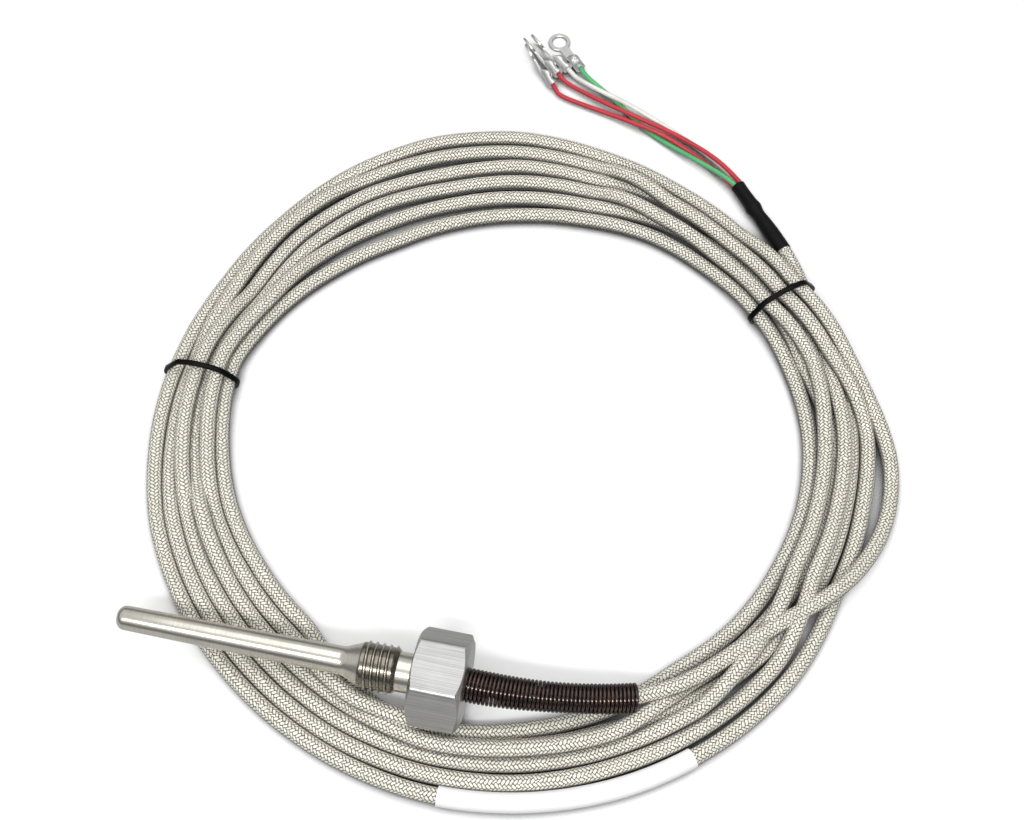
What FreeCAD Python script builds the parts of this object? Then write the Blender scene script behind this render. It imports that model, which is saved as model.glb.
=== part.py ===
import FreeCAD, Part
import math
import os
from FreeCAD import Placement, Rotation, Vector

# Screw-in resistance temperature sensor with a long braided cable, in millimetres.
# The probe's axis is X, from the tip at -X to the cable at +X. The origin lies on
# that axis, at the hexagon's end of the full thread. Z is up, and the whole thing
# lies on a level floor under the hexagon.

# Turned probe body: stem, shoulder, thread, neck and hexagon
STEM_LENGTH = 65.4
STEM_TIP_RADIUS = 3.5
STEM_ROOT_RADIUS = 4.0
STEM_NOSE_ROUND = 2.4
SHOULDER_LENGTH = 4.0
SHOULDER_HOLLOW = 5.0
THREAD_RADIUS = 7.0
THREAD_LENGTH = 10.7
THREAD_CORE_RADIUS = 5.6
THREAD_LEAD_LENGTH = 3.0
THREAD_RUNOUT = 1.3
NECK_RADIUS = 5.7
NECK_LENGTH = 4.0
HEX_ACROSS_FLATS = 25.0
HEX_WIDTH = 14.0
HEX_FACE_RADIUS = 11.7
HEX_CHAMFER_DEG = 30.0
HEX_ROLL_DEG = 4.0

# Bores of the body, all drilled from the cable end
STEM_BORE_RADIUS = 2.2
STEM_END_WALL = 1.7
CHAMBER_RADIUS = 3.0
CHAMBER_DEPTH_PAST_THREAD = 2.0
DRILL_POINT_DEG = 59.0

# Collar behind the hexagon that the spring grips
SPIGOT_LENGTH = 4.0
SPIGOT_CLEARANCE = 0.1

# Sensing parts inside the stem
ELEMENT_RADIUS = 1.6
ELEMENT_LENGTH = 12.0
ELEMENT_TO_FLOOR = 0.6
INSULATOR_RADIUS = 2.0
INSULATOR_GAP = 0.5
INSULATOR_BACK_OFF = 3.0
INNER_CLEARANCE = 0.1
LINE_RADIUS = 1.3
ELEMENT_WIRE_RADIUS = 0.2
WIRE_CLEARANCE = 0.08
CORE_COUNT = 4
CORE_RADIUS = 0.8
CONDUCTOR_RADIUS = 0.4
SPLICE_LENGTH = 6.0
SPLICE_WALL = 0.2
SPLICE_SLEEVE_OVERLAP = 1.5
SPLICE_SLEEVE_WALL = 0.15
SPLICE_FROM_STEM_BORE = 4.0
POTTING_LENGTH = 7.0

# Cable and the crimp ferrule that holds its braid in the body
CABLE_RADIUS = 2.4
CABLE_IN_BODY = 10.0
FERRULE_LENGTH = 8.0
FERRULE_FROM_MOUTH = 1.0
FERRULE_CLEARANCE = 0.05

# Close-wound spring that protects the cable behind the hexagon
SPRING_WIRE_RADIUS = 0.525
SPRING_PITCH = 1.12
SPRING_COILS = 43
SPRING_END_OUTER_RADIUS = 4.25
SPRING_TAPER_LENGTH = 30.0
SPRING_SEAT_GAP = 0.1
BEND_RADIUS = 130.0
BEND_DEG = 20.0
BEND_PLANE_DEG = -27.7

# Where the coiled cable lies: its centre and the heading of its station angles
COIL_CENTRE_X = 19.6
COIL_CENTRE_Y = 84.7
COIL_HEADING_DEG = 11.5

# Bundle of turns at its stations: angle, inner radius, outer radius
BUNDLE_EDGES = (
    (0, 84.4, 106.3),
    (30, 82.0, 106.3),
    (60, 80.5, 105.5),
    (90, 76.0, 111.8),
    (120, 76.7, 113.0),
    (150, 84.4, 110.4),
    (180, 88.5, 113.1),
    (210, 87.2, 115.4),
    (228, 89.0, 114.2),
    (246, 95.2, 112.6),
    (260, 95.2, 110.6),
    (280, 88.4, 108.6),
    (300, 84.4, 106.5),
    (330, 85.0, 106.5),
)
# Stretches where turns lie on others: start and end angle, inner and outer radius
UPPER_LAYERS = (
    (8.0, 62.0, 88.0, 104.0),
    (140.0, 192.0, 93.0, 107.0),
)
UPPER_LAYER_RISE = 4.2
CORD_CLEARANCE = 0.3

# Ties round the bundle
TIE_ANGLES = (29.0, 169.0)
TIE_WIDTH = 1.6
TIE_THICKNESS = 0.9
TIE_CLEARANCE = 0.3

# Lengths of cable that leave the bundle: coil angle, radius and height over the floor
OUTER_RUN = (
    (245.0, 112.8, CABLE_RADIUS),
    (255.0, 114.4, 2.97),
    (276.0, 114.2, 2.97),
    (296.0, 112.2, 2.97),
    (308.0, 110.6, 2.97),
    (322.0, 107.2, CABLE_RADIUS),
)
LEAD_RUN_EXIT = 10.0
LEAD_RUN_EXIT_BEND = 30.0
LEAD_RUN = (
    (100.3, 34.5, 7.6),
    (119.3, 51.0, 7.5),
    (129.5, 70.0, 3.7),
    (131.5, 88.0, CABLE_RADIUS),
    (127.9, 105.5, CABLE_RADIUS),
    (116.2, 126.7, CABLE_RADIUS),
)
TAIL_RUN = (
    (94.8, 158.6, CABLE_RADIUS),
    (89.9, 165.9, 2.95),
    (81.6, 175.9, 3.0),
)

# Bare white sleeve on the outer run, and the shrunk sleeve on the cable's end
LABEL_ENDS_DEG = (257.0, 295.4)
LABEL_WALL = 0.4
SLEEVE_CLEARANCE = 0.1
END_SLEEVE_LENGTH = 26.0
END_SLEEVE_OUTER_RADIUS = 2.9
END_SLEEVE_OVERLAP = 10.0
END_SLEEVE_NECK_RADIUS = 2.55
END_SLEEVE_STEP = 2.0

# Insulated leads: points from the sleeve to the ring terminal's barrel
LEAD_ROUTES = {
    "red_upper": ((62.0, 198.6, 2.9), (46.8, 205.6, 3.0), (36.0, 209.2, 2.7), (22.0, 214.2, 2.0)),
    "green": ((57.8, 195.5, 3.0), (43.1, 203.3, 0.9), (36.0, 207.8, 0.9), (26.0, 216.5, 0.9)),
    "red_lower": ((60.5, 196.6, 0.9), (45.0, 204.2, 2.5), (36.0, 206.6, 2.7), (24.0, 210.4, 1.4)),
    "white": ((61.5, 199.8, 0.9), (46.4, 208.0, 1.0), (31.0, 214.4, 2.7), (20.0, 218.4, 2.6)),
}
# Mouth of each terminal's barrel, and its heading, rise and roll in degrees
TERMINAL_MOUTHS = {
    "red_upper": (4.6, 223.2, 1.95),
    "green": (11.6, 227.2, 1.82),
    "red_lower": (3.7, 218.0, 2.0),
    "white": (7.4, 226.0, 1.95),
}
TERMINAL_TURNS = {
    "red_upper": (136.0, 8.0, 90.0),
    "green": (131.0, 0.0, 0.0),
    "red_lower": (128.0, 9.5, 80.0),
    "white": (133.0, 8.0, 96.0),
}
LEAD_END_RUN = 6.0
LEAD_MOUTH_RUN = 3.5
LEAD_MOUTH_BEND = 12.0
TERMINAL_RING_RADIUS = 3.8
TERMINAL_HOLE_RADIUS = 2.65
TERMINAL_SHEET = 0.8
TERMINAL_REACH = 14.6
TERMINAL_BARREL_LENGTH = 5.0
TERMINAL_BARREL_RADIUS = 1.8
TERMINAL_BORE_RADIUS = 1.1
TERMINAL_TONGUE_WIDTH = 4.0
TERMINAL_SEAM = 0.25

# Places along the axis that follow from the sizes above
THREAD_START = -THREAD_LENGTH
SHOULDER_START = THREAD_START - SHOULDER_LENGTH
TIP_X = SHOULDER_START - STEM_LENGTH
HEX_START = THREAD_RUNOUT + NECK_LENGTH
HEX_END = HEX_START + HEX_WIDTH
MOUTH_X = HEX_END + SPIGOT_LENGTH
HEX_CORNER_RADIUS = HEX_ACROSS_FLATS / 2 / math.cos(math.radians(30))
AXIS_HEIGHT = HEX_CORNER_RADIUS * math.cos(math.radians(30 - HEX_ROLL_DEG))
CHAMBER_END = THREAD_START - CHAMBER_DEPTH_PAST_THREAD
STEM_BORE_END = TIP_X + STEM_END_WALL
SPRING_START_RADIUS = 4.375
SPIGOT_RADIUS = SPRING_START_RADIUS - SPRING_WIRE_RADIUS - SPIGOT_CLEARANCE
LABEL_OUTER_RADIUS = CABLE_RADIUS + SLEEVE_CLEARANCE + LABEL_WALL
ALONG = Vector(1, 0, 0)
UP = Vector(0, 0, 1)


def on_axis(x):
    return Vector(x, 0, 0)


def over_floor(x, y, height):
    return Vector(x, y, height - AXIS_HEIGHT)


def at_station(angle, radius, height):
    """Point of the coil's plan: station angle, radius and height over the floor."""
    turn = math.radians(angle + COIL_HEADING_DEG)
    x = COIL_CENTRE_X + radius * math.cos(turn)
    y = COIL_CENTRE_Y + radius * math.sin(turn)
    return over_floor(x, y, height)


def rod(radius, start, end):
    """Cylinder between two points on any straight line."""
    return Part.makeCylinder(radius, (end - start).Length, start, end - start)


def pipe(outer, inner, start, end):
    return rod(outer, start, end).cut(rod(inner, start, end))


def revolve_profile(points):
    """Solid of revolution about X from (x, radius) points that close on the axis."""
    outline = [Vector(x, 0, r) for x, r in points]
    face = Part.Face(Part.makePolygon(outline + outline[:1]))
    return face.revolve(Vector(), ALONG, 360)


def rounded_wire(points, radii=None):
    """Straight runs joined by tangent arcs, with the largest easy radius at each corner."""
    radii = radii or {}
    edges = []
    here = points[0]
    for number in range(1, len(points) - 1):
        before, corner, after = points[number - 1 : number + 2]
        arriving = (corner - before).normalize()
        leaving = (after - corner).normalize()
        half_turn = arriving.getAngle(leaving) / 2
        shorter = min((corner - before).Length, (after - corner).Length)
        radius = radii.get(number, 0.45 * shorter / math.tan(half_turn))
        tangent = radius * math.tan(half_turn)
        arc_start = corner - arriving * tangent
        arc_end = corner + leaving * tangent
        towards = (leaving - arriving).normalize()
        middle = corner + towards * (radius / math.cos(half_turn) - radius)
        if (arc_start - here).Length > 1e-6:
            edges.append(Part.LineSegment(here, arc_start).toShape())
        edges.append(Part.Arc(arc_start, middle, arc_end).toShape())
        here = arc_end
    edges.append(Part.LineSegment(here, points[-1]).toShape())
    return Part.Wire(edges)


def swept_rod(radius, wire):
    """Round rod along a wire that starts with a straight run or an arc."""
    first = wire.OrderedEdges[0]
    start = first.valueAt(first.FirstParameter)
    heading = first.tangentAt(first.FirstParameter)
    ring = Part.Wire([Part.makeCircle(radius, start, heading)])
    return wire.makePipeShell([ring], True, False)


def core_offsets():
    """The places of the four cores round a line, seen along it."""
    for number in range(CORE_COUNT):
        turn = math.radians(45 + 90 * number)
        yield LINE_RADIUS * math.cos(turn), LINE_RADIUS * math.sin(turn)


def core_group(radius, start_x, end_x):
    """Four like rods along X, one for each core."""
    rods = []
    for y, z in core_offsets():
        rods.append(rod(radius, Vector(start_x, y, z), Vector(end_x, y, z)))
    return rods


def compound(solids):
    return Part.makeCompound(solids)


def turned_outline():
    """Outside of the body up to the neck, as one revolved solid."""
    nose_centre = Vector(TIP_X + STEM_NOSE_ROUND, 0, STEM_TIP_RADIUS - STEM_NOSE_ROUND)
    nose_middle = nose_centre + Vector(-1, 0, 1).normalize() * STEM_NOSE_ROUND
    nose_start = nose_centre - ALONG * STEM_NOSE_ROUND
    nose_end = nose_centre + UP * STEM_NOSE_ROUND
    inside = HEX_START + 1.0
    edges = [
        Part.LineSegment(on_axis(TIP_X), nose_start).toShape(),
        Part.Arc(nose_start, nose_middle, nose_end).toShape(),
    ]
    shoulder = [
        nose_end,
        Vector(SHOULDER_START + 0.3, 0, STEM_ROOT_RADIUS),
        Vector(THREAD_START, 0, THREAD_CORE_RADIUS),
    ]
    edges.extend(rounded_wire(shoulder, {1: SHOULDER_HOLLOW}).OrderedEdges)
    corners = [
        shoulder[-1],
        Vector(THREAD_START + THREAD_LEAD_LENGTH, 0, THREAD_RADIUS),
        Vector(0, 0, THREAD_RADIUS),
        Vector(THREAD_RUNOUT, 0, NECK_RADIUS),
        Vector(inside, 0, NECK_RADIUS),
        on_axis(inside),
        on_axis(TIP_X),
    ]
    for start, end in zip(corners, corners[1:]):
        edges.append(Part.LineSegment(start, end).toShape())
    return Part.Face(Part.Wire(edges)).revolve(Vector(), ALONG, 360)


def hexagon():
    """Hexagon with a 30 degree chamfer at both ends, rolled as it lies."""
    corners = []
    for number in range(6):
        turn = math.radians(60 * number + HEX_ROLL_DEG)
        y = HEX_CORNER_RADIUS * math.cos(turn)
        z = HEX_CORNER_RADIUS * math.sin(turn)
        corners.append(Vector(HEX_START, y, z))
    prism = Part.Face(Part.makePolygon(corners + corners[:1])).extrude(ALONG * HEX_WIDTH)
    over = HEX_CORNER_RADIUS + 1 - HEX_FACE_RADIUS
    slope = over * math.tan(math.radians(HEX_CHAMFER_DEG))
    envelope = revolve_profile(
        [
            (HEX_START, 0),
            (HEX_START, HEX_FACE_RADIUS),
            (HEX_START + slope, HEX_FACE_RADIUS + over),
            (HEX_END - slope, HEX_FACE_RADIUS + over),
            (HEX_END, HEX_FACE_RADIUS),
            (HEX_END, 0),
        ]
    )
    return prism.common(envelope)


def probe_body():
    """Stem, shoulder, thread blank, neck, hexagon and collar turned from one bar."""
    collar = rod(SPIGOT_RADIUS, on_axis(HEX_END - 1), on_axis(MOUTH_X))
    body = turned_outline().fuse([hexagon(), collar])
    point = STEM_BORE_RADIUS / math.tan(math.radians(DRILL_POINT_DEG))
    bores = revolve_profile(
        [
            (STEM_BORE_END, 0),
            (STEM_BORE_END + point, STEM_BORE_RADIUS),
            (CHAMBER_END, STEM_BORE_RADIUS),
            (CHAMBER_END + CHAMBER_RADIUS - STEM_BORE_RADIUS, CHAMBER_RADIUS),
            (MOUTH_X + 1, CHAMBER_RADIUS),
            (MOUTH_X + 1, 0),
        ]
    )
    return body.cut(bores).removeSplitter()


# Places of the sensing parts along the axis
POINT_DEPTH = STEM_BORE_RADIUS / math.tan(math.radians(DRILL_POINT_DEG))
ELEMENT_START = STEM_BORE_END + POINT_DEPTH + ELEMENT_TO_FLOOR
ELEMENT_END = ELEMENT_START + ELEMENT_LENGTH
INSULATOR_START = ELEMENT_END + INSULATOR_GAP
INSULATOR_END = CHAMBER_END - INSULATOR_BACK_OFF
SPLICE_START = CHAMBER_END + SPLICE_FROM_STEM_BORE
SPLICE_END = SPLICE_START + SPLICE_LENGTH
SPLICE_MIDDLE = (SPLICE_START + SPLICE_END) / 2
SLEEVE_START = SPLICE_START - SPLICE_SLEEVE_OVERLAP
CABLE_START = MOUTH_X - CABLE_IN_BODY
CORE_END = SPLICE_END + WIRE_CLEARANCE
CRIMP_RADIUS = CONDUCTOR_RADIUS + SPLICE_WALL
CRIMP_SLEEVE_BORE = CRIMP_RADIUS + INNER_CLEARANCE


def sensing_element():
    return rod(ELEMENT_RADIUS, on_axis(ELEMENT_START), on_axis(ELEMENT_END))


def tip_filler():
    """Packed powder round the element, up to the insulator."""
    outer = STEM_BORE_RADIUS - INNER_CLEARANCE
    start = STEM_BORE_END + POINT_DEPTH
    plug = rod(outer, on_axis(start), on_axis(ELEMENT_END))
    pocket_start = on_axis(ELEMENT_START - INNER_CLEARANCE)
    return plug.cut(rod(ELEMENT_RADIUS + INNER_CLEARANCE, pocket_start, on_axis(ELEMENT_END)))


def element_insulator():
    """Ceramic rod with a bore for each wire."""
    ceramic = rod(INSULATOR_RADIUS, on_axis(INSULATOR_START), on_axis(INSULATOR_END))
    bore = ELEMENT_WIRE_RADIUS + WIRE_CLEARANCE
    return ceramic.cut(compound(core_group(bore, INSULATOR_START - 1, INSULATOR_END + 1)))


def element_wires():
    """From the element's back face into the middle of the splices."""
    return compound(core_group(ELEMENT_WIRE_RADIUS, ELEMENT_END, SPLICE_MIDDLE - 0.2))


def splice_crimps():
    crimps = []
    bores = core_group(CONDUCTOR_RADIUS, SPLICE_START - 1, SPLICE_END + 1)
    blanks = core_group(CRIMP_RADIUS, SPLICE_START, SPLICE_END)
    for blank, bore in zip(blanks, bores):
        crimps.append(blank.cut(bore))
    return compound(crimps)


def splice_sleeves():
    sleeves = []
    outer = CRIMP_SLEEVE_BORE + SPLICE_SLEEVE_WALL
    bores = core_group(CRIMP_SLEEVE_BORE, SLEEVE_START - 1, SPLICE_END + 1)
    blanks = core_group(outer, SLEEVE_START, SPLICE_END)
    for blank, bore in zip(blanks, bores):
        sleeves.append(blank.cut(bore))
    return compound(sleeves)


def cable_cores():
    """Insulated cores between the splices and the cut end of the cable's braid."""
    cores = []
    conductors = core_group(CONDUCTOR_RADIUS - 0.02, SPLICE_MIDDLE + 0.2, CORE_END + 0.5)
    covers = core_group(CORE_RADIUS, CORE_END, CABLE_START)
    for conductor, cover in zip(conductors, covers):
        cores.append(cover.fuse(conductor))
    return compound(cores)


def potting_plug():
    """Cast resin round the cores, between the splices and the cable."""
    start = CABLE_START - INNER_CLEARANCE - POTTING_LENGTH
    plug = rod(CHAMBER_RADIUS, on_axis(start), on_axis(CABLE_START - INNER_CLEARANCE))
    cores = core_group(CORE_RADIUS + 0.02, start - 1, CABLE_START + 1)
    return plug.cut(compound(cores))


def crimp_ferrule():
    """Ring squeezed on the braid inside the collar's mouth."""
    end = on_axis(MOUTH_X - FERRULE_FROM_MOUTH)
    start = on_axis(MOUTH_X - FERRULE_FROM_MOUTH - FERRULE_LENGTH)
    outer = CHAMBER_RADIUS - FERRULE_CLEARANCE
    return pipe(outer, CABLE_RADIUS + FERRULE_CLEARANCE, start, end)


# The bent axis behind the collar: a straight start, then an arc in a tilted plane
BEND_SIDE = Vector(
    0, math.cos(math.radians(BEND_PLANE_DEG)), math.sin(math.radians(BEND_PLANE_DEG))
)
BEND_NORMAL = ALONG.cross(BEND_SIDE)


def bent_axis(distance):
    """Point and in-plane normal of the spring's axis, measured from the hexagon."""
    if distance <= SPIGOT_LENGTH:
        return on_axis(HEX_END + distance), BEND_SIDE
    turn = (distance - SPIGOT_LENGTH) / BEND_RADIUS
    along = ALONG * (BEND_RADIUS * math.sin(turn))
    aside = BEND_SIDE * (BEND_RADIUS * (1 - math.cos(turn)))
    normal = BEND_SIDE * math.cos(turn) - ALONG * math.sin(turn)
    return on_axis(MOUTH_X) + along + aside, normal


def spring_radius(distance):
    """Mean radius of the spring, wide at the collar and narrower towards its end."""
    share = min(1.0, distance / SPRING_TAPER_LENGTH)
    ease = share * share * (3 - 2 * share)
    end_radius = SPRING_END_OUTER_RADIUS - SPRING_WIRE_RADIUS
    return SPRING_START_RADIUS + (end_radius - SPRING_START_RADIUS) * ease


def strain_relief_spring():
    """Close-wound spring as a chain of half turns that meet with one tangent.

    Each half turn runs between opposite sides of the bent axis, in a plane that
    holds the bend's normal, so every wire section lies in the plane of the bend.
    """
    joints = []
    first = SPRING_SEAT_GAP + SPRING_WIRE_RADIUS
    for number in range(2 * SPRING_COILS + 1):
        distance = first + number * SPRING_PITCH / 2
        centre, normal = bent_axis(distance)
        side = 1 if number % 2 == 0 else -1
        joints.append(centre + normal * (side * spring_radius(distance)))
    faces = []
    for number, (start, end) in enumerate(zip(joints, joints[1:])):
        section = Part.makeCircle(SPRING_WIRE_RADIUS, start, BEND_NORMAL)
        across = end - start
        pivot = across.cross(BEND_NORMAL).normalize()
        if number % 2 == 1:
            pivot = pivot * -1
        faces.append(section.revolve((start + end) * 0.5, pivot, 180).Faces[0])
    for centre in (joints[0], joints[-1]):
        circle = Part.makeCircle(SPRING_WIRE_RADIUS, centre, BEND_NORMAL)
        faces.append(Part.Face(Part.Wire([circle])))
    shell = Part.makeCompound(faces)
    shell.sewShape()
    return Part.makeSolid(Part.Shell(shell.Faces))


def lead_wire():
    """Centreline of the cable from the body through the spring to the bundle."""
    half = math.radians(BEND_DEG) / 2
    reach = BEND_RADIUS * math.tan(half)
    turn = math.radians(BEND_DEG)
    vertex = on_axis(MOUTH_X + reach)
    heading = ALONG * math.cos(turn) + BEND_SIDE * math.sin(turn)
    exit_corner = vertex + heading * (reach + LEAD_RUN_EXIT)
    points = [on_axis(CABLE_START), vertex, exit_corner]
    points += [over_floor(*place) for place in LEAD_RUN]
    return rounded_wire(points, {1: BEND_RADIUS, 2: LEAD_RUN_EXIT_BEND})


def outer_run_wire():
    return rounded_wire([at_station(*place) for place in OUTER_RUN])


def tail_wire():
    return rounded_wire([over_floor(*place) for place in TAIL_RUN])


def closed_curve(column, height):
    """Smooth closed curve through the bundle's inner or outer edge."""
    points = [at_station(edge[0], edge[column], height) for edge in BUNDLE_EDGES]
    curve = Part.BSplineCurve()
    curve.interpolate(points, PeriodicFlag=True)
    return Part.Wire([curve.toShape()])


def edge_radius(angle, column):
    """Radius of the bundle's edge at an angle between two of its stations."""
    for low, high in zip(BUNDLE_EDGES, BUNDLE_EDGES[1:]):
        if low[0] <= angle <= high[0]:
            share = (angle - low[0]) / (high[0] - low[0])
            return low[column] * (1 - share) + high[column] * share
    return BUNDLE_EDGES[0][column]


def annular_sector(start, end, inner, outer, bottom, height):
    """Slab between two radii and two station angles."""
    middle = (start + end) / 2
    places = ((start, inner), (end, inner), (end, outer), (start, outer))
    corners = [at_station(angle, radius, bottom) for angle, radius in places]
    inner_arc = Part.Arc(corners[0], at_station(middle, inner, bottom), corners[1])
    outer_arc = Part.Arc(corners[2], at_station(middle, outer, bottom), corners[3])
    edges = [
        inner_arc.toShape(),
        Part.LineSegment(corners[1], corners[2]).toShape(),
        outer_arc.toShape(),
        Part.LineSegment(corners[3], corners[0]).toShape(),
    ]
    return Part.Face(Part.Wire(edges)).extrude(UP * height)


def tie_frame(angle):
    """Placement whose X is radial and Y is up, in the upright plane of a tie."""
    outward = at_station(angle, 1, 0) - at_station(angle, 0, 0)
    along = outward.cross(UP)
    turn = Rotation(outward, UP, along, "XYZ")
    return Placement(at_station(angle, 0, 0) - along * (TIE_WIDTH / 2), turn)


def upper_layer_at(angle):
    for start, end, inner, outer in UPPER_LAYERS:
        if start <= angle <= end:
            return inner, outer
    return None


def tie_outline(angle, offset):
    """Closed outline round the bundle's section, at a distance outside it."""
    low = TIE_THICKNESS + TIE_CLEARANCE
    flat = 2 * CABLE_RADIUS
    top = flat + UPPER_LAYER_RISE
    inner, outer = edge_radius(angle, 1), edge_radius(angle, 2)
    upper = upper_layer_at(angle)
    lower = [(inner, low), (outer, low), (outer, flat)]
    corners = lower + [(upper[1], top), (upper[0], top), (inner, flat)]
    points = [Vector(x, y, 0) for x, y in corners]
    outline = Part.makePolygon(points + points[:1])
    return Part.Face(outline.makeOffset2D(offset))


def tie(angle):
    ring = tie_outline(angle, TIE_CLEARANCE + TIE_THICKNESS).cut(tie_outline(angle, TIE_CLEARANCE))
    band = ring.Faces[0].extrude(Vector(0, 0, TIE_WIDTH))
    band.Placement = tie_frame(angle)
    return band


def tie_groove(angle):
    """Room under the bundle for a tie's lower strand."""
    inner, outer = edge_radius(angle, 1) - 3, edge_radius(angle, 2) + 3
    half = math.degrees((TIE_WIDTH / 2 + TIE_CLEARANCE) / outer)
    height = TIE_THICKNESS + TIE_CLEARANCE
    return annular_sector(angle - half * 1.3, angle + half * 1.3, inner, outer, 0, height)


def cable_coil():
    """The turns as one closed ring, with seats for the cable that leaves it."""
    outer = Part.Face(closed_curve(2, 0))
    ring = outer.cut(Part.Face(closed_curve(1, 0))).Faces[0].extrude(UP * (2 * CABLE_RADIUS))
    layers = []
    for start, end, inner_radius, outer_radius in UPPER_LAYERS:
        bottom = 2 * CABLE_RADIUS - 0.5
        height = UPPER_LAYER_RISE + 0.5
        layers.append(annular_sector(start, end, inner_radius, outer_radius, bottom, height))
    coil = ring.fuse(layers)
    seats = [
        swept_rod(CABLE_RADIUS + CORD_CLEARANCE, lead_wire()),
        swept_rod(LABEL_OUTER_RADIUS + CORD_CLEARANCE, outer_run_wire()),
        swept_rod(END_SLEEVE_OUTER_RADIUS + CORD_CLEARANCE, tail_wire()),
    ]
    grooves = [tie_groove(angle) for angle in TIE_ANGLES]
    return coil.cut(seats + grooves).removeSplitter()


def label_sleeve():
    """Bare sleeve threaded on the outer run of cable."""
    run = outer_run_wire()
    middle = OUTER_RUN[2][1]
    stretch = annular_sector(*LABEL_ENDS_DEG, middle - 15, middle + 15, -1, 12)
    tube = swept_rod(LABEL_OUTER_RADIUS, run).cut(swept_rod(CABLE_RADIUS + SLEEVE_CLEARANCE, run))
    return tube.common(stretch)


def sleeve_frame():
    """Start point and heading of the sleeve on the cable's end."""
    before, last = over_floor(*TAIL_RUN[-2]), over_floor(*TAIL_RUN[-1])
    heading = (last - before).normalize()
    return last - heading * END_SLEEVE_OVERLAP, heading


def end_sleeve():
    """Shrunk sleeve: wide over the cable, narrower over the four leads."""
    start, heading = sleeve_frame()
    step = start + heading * (END_SLEEVE_OVERLAP + 1)
    neck = step + heading * END_SLEEVE_STEP
    end = start + heading * END_SLEEVE_LENGTH
    bore = CABLE_RADIUS + SLEEVE_CLEARANCE
    core_bore = LINE_RADIUS + CORE_RADIUS + SLEEVE_CLEARANCE
    wide = rod(END_SLEEVE_OUTER_RADIUS, start, step)
    cone = Part.makeCone(
        END_SLEEVE_OUTER_RADIUS, END_SLEEVE_NECK_RADIUS, END_SLEEVE_STEP, step, heading
    )
    narrow = rod(END_SLEEVE_NECK_RADIUS, neck, end)
    cable_room = rod(bore, start - heading, start + heading * END_SLEEVE_OVERLAP)
    lead_room = rod(core_bore, start, end + heading)
    return wide.fuse([cone, narrow]).cut([cable_room, lead_room]).removeSplitter()


def terminal_frame(name):
    """Placement of a terminal: X from the barrel's mouth to the ring, Z off its sheet."""
    heading, rise, roll = TERMINAL_TURNS[name]
    turn = Rotation(UP, heading) * Rotation(Vector(0, 1, 0), -rise) * Rotation(ALONG, roll)
    return Placement(over_floor(*TERMINAL_MOUTHS[name]), turn)


def ring_terminal(name):
    """Stamped ring, tongue and rolled barrel, with the barrel's axis at the origin."""
    sheet_bottom = -TERMINAL_BARREL_RADIUS
    centre = Vector(TERMINAL_REACH, 0, sheet_bottom)
    ring = Part.makeCylinder(TERMINAL_RING_RADIUS, TERMINAL_SHEET, centre)
    half = TERMINAL_TONGUE_WIDTH / 2
    neck_x = TERMINAL_BARREL_LENGTH - 0.4
    tongue_points = [
        Vector(neck_x, -TERMINAL_BARREL_RADIUS * 0.7, sheet_bottom),
        Vector(neck_x + 2.5, -half, sheet_bottom),
        Vector(TERMINAL_REACH, -TERMINAL_RING_RADIUS * 0.93, sheet_bottom),
        Vector(TERMINAL_REACH, TERMINAL_RING_RADIUS * 0.93, sheet_bottom),
        Vector(neck_x + 2.5, half, sheet_bottom),
        Vector(neck_x, TERMINAL_BARREL_RADIUS * 0.7, sheet_bottom),
    ]
    tongue = Part.Face(Part.makePolygon(tongue_points + tongue_points[:1]))
    tongue = tongue.extrude(UP * TERMINAL_SHEET)
    barrel = rod(TERMINAL_BARREL_RADIUS, Vector(), on_axis(TERMINAL_BARREL_LENGTH))
    bore = rod(TERMINAL_BORE_RADIUS, on_axis(-1), on_axis(TERMINAL_BARREL_LENGTH + 1))
    seam = Part.makeBox(
        TERMINAL_BARREL_LENGTH + 2, TERMINAL_SEAM, 3, Vector(-1, -TERMINAL_SEAM / 2, 0)
    )
    hole = Part.makeCylinder(TERMINAL_HOLE_RADIUS, 4, centre - UP * 2)
    barrel = barrel.fuse([ring, tongue]).cut([bore, seam, hole]).removeSplitter()
    barrel.Placement = terminal_frame(name)
    return barrel


def conductor_end(name):
    """Bare strands in a terminal's barrel, as one rod."""
    bare = rod(TERMINAL_BORE_RADIUS - 0.05, on_axis(0.1), on_axis(TERMINAL_BARREL_LENGTH + 0.6))
    bare.Placement = terminal_frame(name)
    return bare


def lead(name, number):
    """Insulated core from the cable's end to its terminal."""
    start, heading = sleeve_frame()
    offsets = list(core_offsets())
    aside = heading.cross(UP).normalize()
    above = aside.cross(heading).normalize()
    across, up = offsets[number]
    shift = aside * across + above * up
    inside = start + heading * (END_SLEEVE_OVERLAP + 0.3) + shift
    mouth = start + heading * (END_SLEEVE_LENGTH + LEAD_MOUTH_RUN) + shift
    points = [inside, mouth] + [over_floor(*place) for place in LEAD_ROUTES[name]]
    frame = terminal_frame(name)
    points += [frame.multVec(on_axis(-LEAD_END_RUN)), frame.multVec(on_axis(-0.1))]
    return swept_rod(CORE_RADIUS, rounded_wire(points, {1: LEAD_MOUTH_BEND}))


def report_cord(name, wire, solid, radius):
    """Print the bends of a cord and how its volume compares with its length."""
    bends = []
    for edge in wire.OrderedEdges:
        if hasattr(edge.Curve, "Radius"):
            bends.append(round(edge.Curve.Radius, 1))
    expected = wire.Length * math.pi * radius**2
    share = round(solid.Volume / expected, 4)
    print(name, "length", round(wire.Length, 1), "bends", bends, "volume", share)


def export(name, shape):
    shape.exportStep("parts/" + name + ".step")
    volume = round(shape.Volume, 1)
    print(name, "valid", shape.isValid(), "solids", len(shape.Solids), "volume", volume)


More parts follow.
